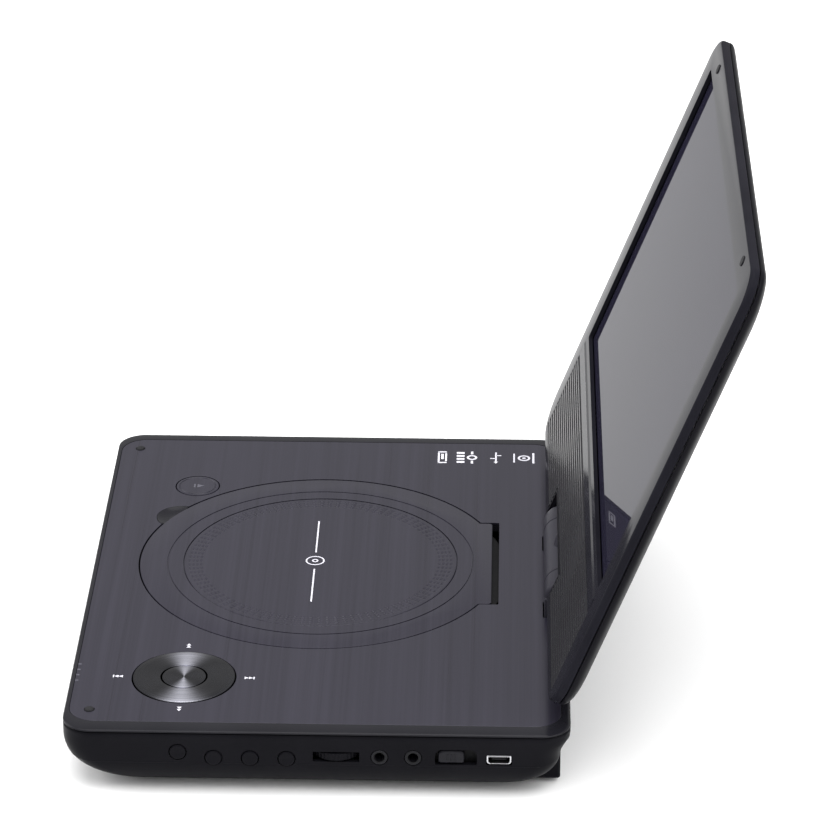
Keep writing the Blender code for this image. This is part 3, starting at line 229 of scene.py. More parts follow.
CASE = plastic("case_plastic", (0.0048, 0.0047, 0.0062), (0.0068, 0.0066, 0.0086), (0.34, 0.44), 3200, 0.012,
               shine=0.08, ior=1.3)
HINGE = plastic("hinge_plastic", (0.022, 0.021, 0.028), (0.028, 0.027, 0.036), (0.34, 0.44), 3200, 0.012,
                shine=0.1)
RIM = plastic("rim_gloss", (0.008, 0.0078, 0.0105), (0.011, 0.0108, 0.014), (0.16, 0.24), 900, 0.004, 0.3,
              shine=0.2, ior=1.35)
BEZEL = plastic("bezel_gloss", (0.009, 0.0088, 0.012), (0.013, 0.0127, 0.017), (0.1, 0.16), 500, 0.003, 0.3,
                shine=0.3, ior=1.08)
GLASS = plastic("display_glass", (0.012, 0.011, 0.021), (0.014, 0.013, 0.024), (0.015, 0.03), 120, 0.001, 0.1,
                shine=0.5, ior=1.065)
GRILLE = plastic("grille_plastic", (0.007, 0.0068, 0.0088), (0.01, 0.0097, 0.0125), (0.22, 0.3), 2600,
                 0.006, 0.4, ior=1.35)
DECK_FINISH = brushed("brushed_deck", (0.0135, 0.0123, 0.0205), (0.0225, 0.0208, 0.032), (0.26, 0.36), 5,
                      0.1, 0.05)
# finish of the nav ring and its middle key, with painted highlight wedges in its base colour
SPUN_WITH_PAINTED_HIGHLIGHT = spun_with_painted_highlight("spun_metal_painted_highlight", (0.06, 0.06, 0.068), (NAV_X, NAV_Y))
STEEL = plastic("plain_steel", (0.42, 0.42, 0.44), (0.55, 0.55, 0.57), (0.22, 0.34), 1500, 0.006, 0.4,
                metallic=1.0)
RUBBER = plastic("soft_rubber", (0.01, 0.01, 0.011), (0.02, 0.02, 0.022), (0.6, 0.8), 1800, 0.05, 0.7)
PRINT = plastic("white_print", (0.55, 0.54, 0.6), (0.68, 0.67, 0.73), (0.4, 0.5), 2000, 0.004, 0.2)
FAINT = plastic("faint_print", (0.075, 0.073, 0.09), (0.1, 0.098, 0.12), (0.4, 0.5), 2000, 0.004, 0.2)
DARK = plastic("dark_inside", (0.004, 0.004, 0.005), (0.007, 0.007, 0.008), (0.5, 0.7), 1200, 0.02)
GREY = plastic("well_plastic", (0.03, 0.03, 0.034), (0.045, 0.045, 0.05), (0.4, 0.5), 2200, 0.02)
BOARD = plastic("solder_mask", (0.01, 0.07, 0.03), (0.015, 0.1, 0.045), (0.35, 0.5), 800, 0.03)
CELL = plastic("battery_wrap", (0.02, 0.06, 0.18), (0.03, 0.08, 0.24), (0.25, 0.35), 600, 0.02)
LENS = plastic("coated_lens", (0.03, 0.08, 0.28), (0.05, 0.1, 0.36), (0.02, 0.05), 300, 0.001, 0.1)


# Shape helpers

def link(name, mesh, finish, smooth=35):
    """A mesh as a piece, smooth except at its sharp edges."""
    mesh.materials.append(finish)
    mesh.shade_smooth()
    mesh.set_sharp_from_angle(angle=math.radians(smooth))
    piece = bpy.data.objects.new(name, mesh)
    bpy.context.scene.collection.objects.link(piece)
    return piece


def made_mesh(build, place=None):
    """Run a function on an empty bmesh in millimetres and return its mesh in metres."""
    shape = bmesh.new()
    build(shape)
    if place is not None:
        bmesh.ops.transform(shape, matrix=place, verts=shape.verts)
    bmesh.ops.scale(shape, vec=(MM, MM, MM), verts=shape.verts)
    bmesh.ops.recalc_face_normals(shape, faces=shape.faces)
    mesh = bpy.data.meshes.new("shape")
    shape.to_mesh(mesh)
    shape.free()
    return mesh


def loft(name, rings, finish, place=None, last=True, loop=False, smooth=35):
    """A skin over rings of equally many points; loop joins the last ring to the first."""

    def build(shape):
        made = [[shape.verts.new(point) for point in ring] for ring in rings]
        pairs = list(zip(made, made[1:]))
        if loop:
            pairs.append((made[-1], made[0]))
        for lower, upper in pairs:
            for i, vert in enumerate(lower):
                after = (i + 1) % len(lower)
                shape.faces.new((vert, lower[after], upper[after], upper[i]))
        if not loop:
            shape.faces.new(made[0])
        if last and not loop:
            shape.faces.new(made[-1])

    return link(name, made_mesh(build, place), finish, smooth)


def turned(name, profile, centre, finish, steps=96, place=None, axis="Z"):
    """A turned piece from a (radius, height) outline, solid when it starts on its axis and a tube if not."""
    turn = {"X": Matrix.Rotation(math.pi / 2, 4, "Y"), "Z": Matrix.Identity(4)}[axis]
    full = Matrix.Translation(centre) @ turn
    if place is not None:
        full = place @ full
    on_axis = profile[0][0] == 0

    def build(shape):
        rings = []
        for radius, height in profile:
            if radius == 0:
                rings.append([shape.verts.new((0, 0, height))])
                continue
            ring = []
            for step in range(steps):
                angle = 2 * math.pi * step / steps
                ring.append(shape.verts.new((radius * math.cos(angle), radius * math.sin(angle), height)))
            rings.append(ring)
        pairs = list(zip(rings, rings[1:]))
        if not on_axis:
            pairs.append((rings[-1], rings[0]))
        for lower, upper in pairs:
            for step in range(steps):
                after = (step + 1) % steps
                if len(lower) == 1:
                    shape.faces.new((lower[0], upper[after], upper[step]))
                elif len(upper) == 1:
                    shape.faces.new((lower[step], lower[after], upper[0]))
                else:
                    shape.faces.new((lower[step], lower[after], upper[after], upper[step]))

    return link(name, made_mesh(build, full), finish)


def round_rect(x_low, x_high, y_low, y_high, radii, steps=FINE):
    """Points of a rectangle with round corners."""
    corners = (
        (x_low + radii[0], y_low + radii[0], radii[0], 180),
        (x_high - radii[1], y_low + radii[1], radii[1], 270),
        (x_high - radii[2], y_high - radii[2], radii[2], 0),
        (x_low + radii[3], y_high - radii[3], radii[3], 90),
    )
    points = []
    for x, y, radius, start in corners:
        for step in range(steps + 1):
            angle = math.radians(start + 90 * step / steps)
            points.append((x + radius * math.cos(angle), y + radius * math.sin(angle)))
    return points


def block(name, low, high, finish, place=None, edge=0.3):
    """A box with rounded edges."""

    def build(shape):
        low_corner = Vector(low)
        high_corner = Vector(high)
        size = Matrix.Diagonal((*(high_corner - low_corner), 1.0))
        bmesh.ops.create_cube(shape, size=1.0,
                              matrix=Matrix.Translation((low_corner + high_corner) / 2) @ size)
        if edge:
            bmesh.ops.bevel(shape, geom=shape.edges[:], offset=edge, segments=3, profile=0.5,
                            affect="EDGES", clamp_overlap=True)

    return link(name, made_mesh(build, place), finish)


def solidify(piece, thickness):
    """Give an open skin a wall that grows inward."""
    modifier = piece.modifiers.new("wall", "SOLIDIFY")
    modifier.thickness = thickness * MM
    modifier.offset = -1.0
    modifier.use_even_offset = True


def carve(piece, *tools):
    """Cut tools out of a piece, with the result applied and the tools removed."""
    for tool in tools:
        modifier = piece.modifiers.new("carve", "BOOLEAN")
        modifier.operation = "DIFFERENCE"
        modifier.object = tool
    graph = bpy.context.evaluated_depsgraph_get()
    mesh = bpy.data.meshes.new_from_object(piece.evaluated_get(graph))
    piece.modifiers.clear()
    old = piece.data
    piece.data = mesh
    bpy.data.meshes.remove(old)
    for tool in tools:
        bpy.data.objects.remove(tool)
    mesh.shade_smooth()
    mesh.set_sharp_from_angle(angle=math.radians(35))


def soften(piece, width, segments=2, angle=30):
    """Round a piece's sharp edges."""
    modifier = piece.modifiers.new("edges", "BEVEL")
    modifier.width = width * MM
    modifier.segments = segments
    modifier.limit_method = "ANGLE"
    modifier.angle_limit = math.radians(angle)


def dress(piece, body, slot, *nodes):
    """Ride a piece on its body and hide the nodes it stands for; its slot is not used."""
    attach(piece, body)
    if nodes:
        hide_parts(*nodes)


def cylinder_tool(x, y, z, radius, length, axis, steps=48, place=None):
    """A round cutting tool centred on a point."""
    half = length / 2
    return turned("tool", [(0, -half), (radius, -half), (radius, half), (0, half)], (x, y, z), DARK, steps,
                  place, axis)


# Base

FRONT_RAKE, FRONT_RISE = 28.0, 18.0
SIDE_ROUND = 12.5
REAR_RAKE, REAR_RISE = 16.0, 12.0
REAR_TAPER, REAR_TAPER_TOP, REAR_TAPER_HEIGHT = 3.4, 19.4, 8.0
PLAN_CORNER = 10.0
WALL = 2.0
STEP_LINE = 11.2
STEP_DEPTH = 0.12
CUT = 12.0
RIM_INSETS = (5.2, 1.2, 2.6)
SCOOP_TURN, SCOOP_DISTANCE, SCOOP_RADIUS = 238.0, 63.5, 9.0
NAV_HOLE_RADIUS = 18.15
TAB_HALF = 31.5
KNUCKLE_X = 24.0
SOCKET_DROP = 3.6
WHEEL_SLOT_HALF = 7.9


def quarter_inset(height, reach, rise):
    """How far an elliptic lower edge stands in from the wall at a height."""
    if height >= rise:
        return 0.0
    share = (rise - height) / rise
    return reach * (1 - math.sqrt(1 - share * share))


def base_ring(z, side, front, rear, corner):
    """The base's plan outline at a height, set in from its sides, front and rear."""
    outline = round_rect(side - HALF_X, HALF_X - side, front - HALF_Y, HALF_Y - rear, (corner,) * 4)
    return [(x, y, z) for x, y in outline]


def shell_ring(z, extra=0.0):
    """The lower shell's outline at a height, with its rounded sides and raked front and rear."""
    side = quarter_inset(z, SIDE_ROUND, SIDE_ROUND) + extra
    front = quarter_inset(z, FRONT_RAKE, FRONT_RISE) + extra
    share = min(1.0, max(0.0, (REAR_TAPER_TOP - z) / REAR_TAPER_HEIGHT))
    rear = REAR_TAPER * math.sin(math.pi / 2 * share) + quarter_inset(z, REAR_RAKE, REAR_RISE) + extra
    return base_ring(z, side, front, rear, PLAN_CORNER + side * 0.3)


def base_shell():
    """The lower shell with a faint step line, its wall openings and its rear cut-out."""
    rings = []
    below, above = 15, 8
    for step in range(below):
        z = STEP_LINE * (1 - math.cos(math.radians(90 * step / below)))
        rings.append(shell_ring(z, STEP_DEPTH))
    rings.append(shell_ring(STEP_LINE, STEP_DEPTH))
    rings.append(shell_ring(STEP_LINE + STEP_DEPTH))
    for step in range(1, above + 1):
        rings.append(shell_ring(STEP_LINE + STEP_DEPTH + (SEAM - 0.7 - STEP_LINE) * step / above))
    rings.append(base_ring(SEAM, 0.35, 0.35, 0.35, PLAN_CORNER))
    piece = loft("base_shell_skin", rings, CASE, last=False)
    solidify(piece, WALL - 0.1)
    tools = []
    for number in range(1, 5):
        low, high = extent(f"side_key_{number}")
        centre = (low + high) / 2
        tools.append(cylinder_tool(HALF_X - 3, centre.y, centre.z, (high.y - low.y) / 2 + 0.32, CUT, "X"))
    for name in ("headphone_jack", "av_jack"):
        low, high = extent(name)
        tools.append(cylinder_tool(HALF_X - 3, (low.y + high.y) / 2, high.z - SOCKET_DROP, 3.05, CUT, "X"))
    low, high = extent("volume_wheel")
    middle = (low.y + high.y) / 2
    tools.append(block("tool", (HALF_X - 8, middle - WHEEL_SLOT_HALF, low.z - 0.6),
                       (HALF_X + 3, middle + WHEEL_SLOT_HALF, high.z + 0.6), DARK, edge=0.0))
    tools.append(switch_window())
    low, high = extent("usb_port")
    tools.append(block("tool", (HALF_X - 8, low.y - 0.25, low.z - 0.25),
                       (HALF_X + 3, high.y + 0.25, high.z + 0.25), DARK, edge=0.6))
    for row in ("front", "rear"):
        for side in ("left", "right"):
            low, high = extent(f"case_screw_{row}_{side}")
            centre = (low + high) / 2
            tools.append(cylinder_tool(centre.x, centre.y, 0, 3.0, 4.2, "Z", 32))
    low, high = extent("battery_cover")
    tools.append(block("tool", (low.x - 0.3, low.y - 0.3, -2), (high.x + 0.3, HALF_Y + 6, high.z + 0.6),
                       DARK, edge=0.0))
    carve(piece, *tools)
    dress(piece, "base", "case", "base_bottom_shell")


def switch_window():
    """The D-shaped recess of the power switch, as a tool."""
    low, high = extent("switch_body")
    middle = (low.y + high.y) / 2
    z = (low.z + high.z) / 2
    half, tall = 7.1, 2.95
    outline = round_rect(middle - half, middle + half, z - tall, z + tall, (0.6, 0.6, 2.4, 2.4), 6)
    rings = [[(x, y, height) for y, height in outline] for x in (HALF_X - 8, HALF_X + 3)]
    return loft("tool", rings, DARK)


def door_outline(grow, slot, corner):
    """Plan points of the disc door: a circle whose rear runs out into a tab with round corners."""
    half = TAB_HALF + grow
    reach = DOOR_HIGH.y - DOOR_Y + slot
    radius = DOOR_RADIUS + grow
    start = math.acos(half / radius)
    points = []
    for side in (1, -1):
        for step in range(6):
            angle = math.radians((0 if side == 1 else 90) + 90 * step / 5)
            points.append((side * (half - corner) + corner * math.cos(angle),
                           reach - corner + corner * math.sin(angle)))
    sweep = math.pi + 2 * start
    steps = 150
    for step in range(steps + 1):
        angle = math.pi - start + sweep * step / steps
        points.append((radius * math.cos(angle), radius * math.sin(angle)))
    return [(DOOR_X + x, DOOR_Y + y) for x, y in points]


def door_tool(low, high):
    """The door's opening with its slot behind the tab, as a tool."""
    outline = door_outline(0.5, 2.6, 0.6)
    return loft("tool", [[(x, y, z) for x, y in outline] for z in (low, high)], DARK)


def scoop_place():
    """The middle of the finger scoop at the door's rim."""
    angle = math.radians(SCOOP_TURN)
    return DOOR_X + SCOOP_DISTANCE * math.cos(angle), DOOR_Y + SCOOP_DISTANCE * math.sin(angle)


def key_tools(low, high):
    """Tools for the holes that the cover and the plate share."""
    tools = [door_tool(low, high)]
    middle = (low + high) / 2
    tall = high - low
    tools.append(cylinder_tool(NAV_X, NAV_Y, middle, NAV_HOLE_RADIUS, tall, "Z", 96))
    key_low, key_high = extent("open_key")
    key = (key_low + key_high) / 2
    tools.append(cylinder_tool(key.x, key.y, middle, (key_high.x - key_low.x) / 2 + 0.35, tall, "Z", 64))
    start, end = 19.9, extent("hinge_bracket")[1].x + 0.4
    for side in (-1, 1):
        near, far = sorted((side * start, side * end))
        tools.append(block("tool", (near, TILT.y - 7.3, low), (far, TILT.y - 3.7, high), DARK, edge=0.0))
    for name in ("deck_bumper_left", "deck_bumper_right"):
        nub_low, nub_high = extent(name)
        nub = (nub_low + nub_high) / 2
        tools.append(cylinder_tool(nub.x, nub.y, middle, (nub_high.x - nub_low.x) / 2 + 0.15, tall, "Z", 32))
    return tools


def top_cover():
    """The cover's glossy sloping rim."""
    step_in = 2.6
    rings = [base_ring(COVER_LOW.z, step_in, step_in, step_in, PLAN_CORNER - 2),
             base_ring(COVER_HIGH.z - 1.2, step_in, step_in, step_in, PLAN_CORNER - 2),
             base_ring(COVER_HIGH.z - 1.2, 0.3, 0.3, 0.3, PLAN_CORNER),
             base_ring(COVER_HIGH.z - 1.05, 0, 0, 0, PLAN_CORNER)]
    fall, steps = 0.75, 8
    for step in range(steps + 1):
        angle = math.radians(90 * step / steps)
        insets = (inset * (1 - math.cos(angle)) for inset in RIM_INSETS)
        rings.append(base_ring(DECK - fall + fall * math.sin(angle), *insets, PLAN_CORNER))
    piece = loft("top_cover_skin", rings, RIM, smooth=50)
    insets = [inset + 0.4 for inset in RIM_INSETS]
    recess = [base_ring(z, *insets, PLAN_CORNER - 0.5) for z in (PLATE_LOW.z - 0.3, DECK + 1)]
    x, y = scoop_place()
    tools = [loft("tool", recess, DARK)] + key_tools(COVER_LOW.z - 1, DECK + 1)
    tools.append(cylinder_tool(x, y, DECK, SCOOP_RADIUS, 2.6, "Z", 64))
    carve(piece, *tools)
    dress(piece, "base", "gloss", "base_top_cover")


def deck():
    """The brushed plate over the cover."""
    bevel = 0.12
    edge = [inset + 0.55 for inset in RIM_INSETS]
    rings = [base_ring(PLATE_LOW.z, *edge, PLAN_CORNER - 0.6),
             base_ring(DECK - bevel, *edge, PLAN_CORNER - 0.6),
             base_ring(DECK, *(inset + bevel for inset in edge), PLAN_CORNER - 0.7)]
    piece = loft("deck_plate_skin", rings, DECK_FINISH)
    x, y = scoop_place()
    tools = key_tools(PLATE_LOW.z - 1, DECK + 1)
    tools.append(cylinder_tool(x, y, DECK, SCOOP_RADIUS, 4, "Z", 64))
    carve(piece, *tools)
    soften(piece, 0.1, 2)
    dress(piece, "base", "deck", "deck_plate")


def finger_scoop():
    """A smooth dish at the door's rim for a fingertip."""
    x, y = scoop_place()
    profile = [(0, DECK - 1.55), (3, DECK - 1.5), (5.5, DECK - 1.2), (7.2, DECK - 0.7), (8.3, DECK - 0.2),
               (8.85, DECK + 0.02), (8.85, DECK - 1.0), (7, DECK - 2.0), (0, DECK - 2.2)]
    piece = turned("finger_scoop", profile, (x, y, 0), RIM, 72)
    carve(piece, door_tool(DECK - 4, DECK + 2))
    dress(piece, "base", "gloss")


def disc_door():
    """The door's slab, with a fine groove round the seat of its inlay."""
    rings = []
    for grow, z in ((-2.9, DOOR_UNDER), (-2.5, DOOR_UNDER + 0.3), (-2.5, DECK - 1.0), (-0.4, DECK - 1.0),
                    (0, DECK - 0.6), (0, DECK - 0.35), (-0.12, DECK - 0.1), (-0.4, DECK)):
        rings.append([(x, y, z) for x, y in door_outline(grow, min(0.0, grow + 0.2), 1.4)])
    slab = loft("door_slab", rings, DECK_FINISH)
    groove = turned("tool", [(55.6, DECK - 0.25), (56.0, DECK - 0.25), (56.4, DECK + 1), (55.2, DECK + 1)],
                    (DOOR_X, DOOR_Y, 0), DARK, 160)
    seat = cylinder_tool(DOOR_X, DOOR_Y, DECK, 50.2, 1.2, "Z", 160)
    carve(slab, groove, seat)
    dress(slab, "door", "gloss", "disc_door")


def knuckle_pieces():
    """The door's two hinge knuckles under its tab."""
    pin_low, pin_high = extent("door_hinge_pin")
    axis_y = (pin_low.y + pin_high.y) / 2
    axis_z = (pin_low.z + pin_high.z) / 2
    for side, word in ((-1, "left"), (1, "right")):
        x = DOOR_X + side * KNUCKLE_X
        profile = [(0.9, -3.5), (1.3, -3.5), (1.5, -3.3), (1.5, 3.3), (1.3, 3.5), (0.9, 3.5)]
        knuckle = turned(f"door_knuckle_{word}", profile, (x, axis_y, axis_z), GREY, 40, axis="X")
        dress(knuckle, "door", "gloss")


def door_inlay():
    """The door's middle: a thin plate with four rings of dimples."""
    outer, around, per_ring = 49.9, 480, 96
    face, under = DECK - 0.06, DECK - 0.58
    dimple_rings = (43.6, 45.0, 46.4, 47.8)
    dimple_depth, dimple_radius = 0.42, 0.56
    radii = [8, 16, 24, 32, 38, 42.2]
    value = 42.6
    while value < 48.8:
        radii.append(value)
        value += 0.2
    radii += [49.2, outer - 0.12]
    angles = [2 * math.pi * step / around for step in range(around)]

    def dip(radius, angle):
        ring = min(dimple_rings, key=lambda candidate: abs(candidate - radius))
        spread = (angle * per_ring / (2 * math.pi)) % 1.0
        along = (spread - 0.5) * 2 * math.pi / per_ring * radius
        away = math.hypot(along, radius - ring)
        return dimple_depth * max(0.0, 1 - (away / dimple_radius) ** 2)

    def build(shape):
        top = shape.verts.new((0, 0, face))
        rows = [[shape.verts.new((radius * math.cos(angle), radius * math.sin(angle),
                                  face - dip(radius, angle))) for angle in angles] for radius in radii]
        for height in (DECK - 0.2, under):
            rows.append([shape.verts.new((outer * math.cos(angle), outer * math.sin(angle), height))
                         for angle in angles])
        bottom = shape.verts.new((0, 0, under))
        for step in range(around):
            after = (step + 1) % around
            shape.faces.new((top, rows[0][step], rows[0][after]))
            for lower, upper in zip(rows, rows[1:]):
                shape.faces.new((lower[step], upper[step], upper[after], lower[after]))
            shape.faces.new((rows[-1][after], rows[-1][step], bottom))

    piece = link("door_inlay", made_mesh(build, Matrix.Translation((DOOR_X, DOOR_Y, 0))), DECK_FINISH, 60)
    dress(piece, "door", "deck")


def keys():
    """The ring, its middle key, the open key and the four side keys."""
    out = (NAV_HIGH.x - NAV_LOW.x) / 2
    low, top = NAV_LOW.z, NAV_HIGH.z
    ring = turned("nav_ring_skin", [
        (8.05, low), (8.05, top - 0.35), (8.2, top - 0.08), (8.5, top - 0.02), (10.5, top), (15, top),
        (out - 0.6, top - 0.04), (out - 0.15, top - 0.2), (out, top - 0.5), (out, low),
    ], (NAV_X, NAV_Y, 0), SPUN_WITH_PAINTED_HIGHLIGHT, 160)
    dress(ring, "nav_ring", "dark_metal", "nav_ring")
    centre = turned("nav_centre_skin", [
        (0, low - 2), (5.5, low - 2), (5.5, low), (7.65, low), (7.65, top - 0.4), (7.5, top - 0.12),
        (7.1, top - 0.02), (5, top), (0, top - 0.03),
    ], (NAV_X, NAV_Y, 0), SPUN_WITH_PAINTED_HIGHLIGHT, 120)
    dress(centre, "nav_centre_key", "dark_metal", "nav_centre_key")
    key_low, key_high = extent("open_key")
    key = (key_low + key_high) / 2
    radius = (key_high.x - key_low.x) / 2
    under, top = key_low.z + 0.1, key_high.z
    cap = turned("open_key_skin", [
        (0, under), (radius - 0.3, under), (radius, under + 0.3), (radius, top - 0.45),
        (radius - 0.15, top - 0.12), (radius - 0.5, top), (radius - 1.0, top - 0.02),
        (radius - 1.2, top - 0.22), (radius - 1.4, top - 0.22), (radius - 1.6, top - 0.02), (0, top - 0.05),
    ], (key.x, key.y, 0), DECK_FINISH, 120)
    dress(cap, "open_key", "gloss", "open_key")
    for number in range(1, 5):
        name = f"side_key_{number}"
        low, high = extent(name)
        middle = (low + high) / 2
        radius = (high.y - low.y) / 2
        depth = high.x - low.x
        shape = turned(f"{name}_skin", [
            (0, -depth), (radius, -depth), (radius, -0.55), (radius - 0.12, -0.2), (radius - 0.45, -0.03),
            (radius - 0.8, -0.08), (radius * 0.5, -0.2), (0, -0.24),
        ], (high.x, middle.y, middle.z), CASE, 72, axis="X")
        dress(shape, name, "case", name)


def volume_wheel():
    """A thumb wheel with fine ribs round its edge."""
    low, high = extent("volume_wheel")
    middle = (low + high) / 2
    radius = (high.x - low.x) / 2
    ribs, rib_height = 44, 0.22
    steps = ribs * 6
    rings = []
    for inset, z in ((1.2, low.z), (0.3, low.z), (0, low.z + 0.3), (0, high.z - 0.3), (0.3, high.z),
                     (1.2, high.z)):
        ring = []
        for step in range(steps):
            angle = 2 * math.pi * step / steps
            rib = rib_height * max(0.0, math.cos(angle * ribs)) if inset < 1 else 0.0
            reach = radius - rib_height - inset + rib
            ring.append((middle.x + reach * math.cos(angle), middle.y + reach * math.sin(angle), z))
        rings.append(ring)
    dress(loft("volume_wheel_skin", rings, CASE), "volume_wheel", "case", "volume_wheel")


def sockets():
    """Sleeves and contacts in the two jacks."""
    for name in ("headphone_jack", "av_jack"):
        low, high = extent(name)
        y = (low.y + high.y) / 2
        z = high.z - SOCKET_DROP
        sleeve = turned(f"{name}_sleeve", [
            (1.78, -11.5), (1.95, -11.5), (1.95, -0.9), (2.45, -0.5), (2.75, -0.1), (2.65, 0.06),
            (2.3, 0.02), (1.9, -0.35), (1.78, -0.8),
        ], (HALF_X - 0.1, y, z), RIM, 72, axis="X")
        dress(sleeve, "base", "gloss")
        contact = turned(f"{name}_contact", [(0, -0.2), (1.7, -0.2), (1.7, 0.2), (0, 0.2)],
                         (HALF_X - 11.4, y, z), STEEL, 32, axis="X")
        dress(contact, "base", "steel")


def slide_switch():
    """The switch knob with three ridges."""
    low, high = extent("power_switch")
    middle = (low + high) / 2
    outline = round_rect(low.y, high.y, low.z, high.z, (0.5, 0.5, 1.9, 1.9), 6)
    rings = []
    for shrink, x in ((0, low.x), (0, high.x - 0.7), (0.15, high.x - 0.3), (0.5, high.x - 0.08),
                      (0.95, high.x - 0.1)):
        rings.append([(x, y - math.copysign(shrink, y - middle.y), z - math.copysign(shrink, z - middle.z))
                      for y, z in outline])
    knob = loft("power_switch_skin", rings, RIM, smooth=50)
    dress(knob, "power_switch", "gloss", "power_switch")
    pitch = 1.2
    for number in range(3):
        y = middle.y - pitch + pitch * number
        ridge = block(f"switch_ridge_{number}", (high.x - 0.3, y - 0.22, low.z + 1.1),
                      (high.x + 0.08, y + 0.22, high.z - 1.2), RIM, edge=0.15)
        dress(ridge, "power_switch", "gloss")


def port():
    """The port's metal shell with its tongue and back."""
    low, high = extent("usb_port")
    middle = (low + high) / 2
    outline = round_rect(low.y + 0.05, high.y - 0.05, low.z + 0.05, high.z - 0.05, (1.3, 1.3, 0.5, 0.5), 6)
    inner = round_rect(low.y + 0.5, high.y - 0.5, low.z + 0.5, high.z - 0.5, (1.0, 1.0, 0.3, 0.3), 6)
    front, back = high.x + 0.12, low.x + 0.5
    rings = [[(x, y, z) for y, z in ring] for ring, x in
             ((outline, back), (outline, front - 0.15), (inner, front), (inner, back))]
    shell = loft("port_shell", rings, STEEL, loop=True)
    dress(shell, "base", "steel", "usb_port")
    tongue = block("port_tongue", (back, low.y + 1.8, middle.z - 0.35),
                   (front - 0.8, high.y - 1.8, middle.z + 0.3), DARK, edge=0.1)
    dress(tongue, "base", "steel")
    wall = block("port_back", (back - 0.4, low.y + 0.1, low.z + 0.1),
                 (back - 0.05, high.y - 0.1, high.z - 0.1), DARK, edge=0.1)
    dress(wall, "base", "steel")


def small_parts():
    """The two deck bumpers and the four feet."""
    for name in ("deck_bumper_left", "deck_bumper_right"):
        low, high = extent(name)
        middle = (low + high) / 2
        radius = (high.x - low.x) / 2
        shape = turned(f"{name}_skin", [
            (0, low.z), (radius, low.z), (radius, high.z - 0.7), (radius - 0.15, high.z - 0.3),
            (radius - 0.5, high.z - 0.06), (0, high.z),
        ], (middle.x, middle.y, 0), RUBBER, 48)
        dress(shape, "base", "rubber", name)
    for row in ("front", "rear"):
        for side in ("left", "right"):
            name = f"foot_{row}_{side}"
            low, high = extent(name)
            middle = (low + high) / 2
            radius = (high.x - low.x) / 2
            top = high.z + 0.28
            shape = turned(f"{name}_skin", [
                (0, low.z), (radius - 0.5, low.z), (radius - 0.12, low.z + 0.15), (radius, low.z + 0.5),
                (radius, top), (0, top),
            ], (middle.x, middle.y, 0), RUBBER, 64)
            dress(shape, "base", "rubber", name)


# Printed marks

RING_MARK_X, RING_MARK_Y = 77.9, -47.1
FUNCTION_MARK_X = -96.6
LINE_WIDTH = 0.55


def print_marks(name, outlines, finish, z, body):
    """Flat printed shapes, each a closed outline of plan points, as one thin piece on a body."""
    thick, proud = 0.06, 0.024

    def build(shape):
        for outline in outlines:
            low = [shape.verts.new((x, y, z - thick)) for x, y in outline]
            high = [shape.verts.new((x, y, z + proud)) for x, y in outline]
            shape.faces.new(high)
            shape.faces.new(low[::-1])
            for i, vert in enumerate(low):
                after = (i + 1) % len(low)
                shape.faces.new((vert, low[after], high[after], high[i]))

    dress(link(name, made_mesh(build), finish), body, "deck")


def triangle(x, y, size, direction):
    """A triangle that points along a plan direction."""
    turn = math.atan2(direction[1], direction[0])
    points = ((size * 0.5, 0), (-size * 0.5, size * 0.55), (-size * 0.5, -size * 0.55))
    return [(x + a * math.cos(turn) - b * math.sin(turn),
             y + a * math.sin(turn) + b * math.cos(turn)) for a, b in points]


def bar(x, y, width, height):
    """A rectangle round a point."""
    half_w, half_h = width / 2, height / 2
    return [(x - half_w, y - half_h), (x + half_w, y - half_h), (x + half_w, y + half_h),
            (x - half_w, y + half_h)]


def ring_mark(x, y, radius, width, steps=20):
    """A printed ring as two half strips."""
    halves = []
    for start in (0, 180):
        outer, inner = [], []
        for step in range(steps + 1):
            angle = math.radians(start + 180 * step / steps)
            across, along = math.cos(angle), math.sin(angle)
            outer.append((x + (radius + width / 2) * across, y + (radius + width / 2) * along))
            inner.append((x + (radius - width / 2) * across, y + (radius - width / 2) * along))
        halves.append(outer + inner[::-1])
    return halves


def ring_arrows():
    """Skip arrows before and behind the ring, and seek arrows at its sides."""
    size, half_pair = 1.5, 0.75
    marks = []
    for y in (-69.8, -24.6):
        toward = -1 if y < NAV_Y else 1
        for shift in (half_pair, -half_pair):
            marks.append(triangle(RING_MARK_X, y + toward * shift, size, (0, toward)))
        marks.append(bar(RING_MARK_X, y + toward * 1.75, 1.7, 0.45))
    for x in (55.4, 100.0):
        toward = -1 if x < NAV_X else 1
        for shift in (half_pair, -half_pair):
            marks.append(triangle(x + toward * shift, RING_MARK_Y, size, (toward, 0)))
    print_marks("ring_arrows", marks, PRINT, DECK, "base")


def function_marks():
    """Five plain marks in a row near the hinge, built of bars, rings and an arrow."""
    x = FUNCTION_MARK_X
    marks = [bar(x - 4.6, 39.2, 0.9, 3.4), bar(x + 4.6, 39.2, 0.9, 3.4), bar(x, 37.8, 9.0, 0.7),
             bar(x, 40.6, 7.0, 0.7), bar(x - 0.6, 39.2, 4.6, 1.0)]
    marks += [bar(x + shift, 46.2, 1.5, 3.0) for shift in (-3.9, -1.3, 1.3, 3.9)]
    marks += ring_mark(x, 50.6, 1.6, 0.8)
    marks += [bar(x - 4.0, 50.6, 2.4, 0.9), bar(x + 4.0, 50.6, 2.4, 0.9)]
    marks += [bar(x - 0.6, 59.8, 8.0, 0.6), triangle(x + 4.2, 59.8, 1.6, (1, 0)),
              bar(x - 2.0, 60.9, 0.6, 2.0), bar(x + 0.6, 58.6, 0.6, 2.0)]
    marks += ring_mark(x, 70.6, 2.0, 0.8)
    marks += [bar(x, 70.6, 1.2, 1.2), bar(x, 66.8, 7.6, 0.6), bar(x, 74.2, 9.0, 0.8)]
    print_marks("function_marks", marks, PRINT, DECK, "base")


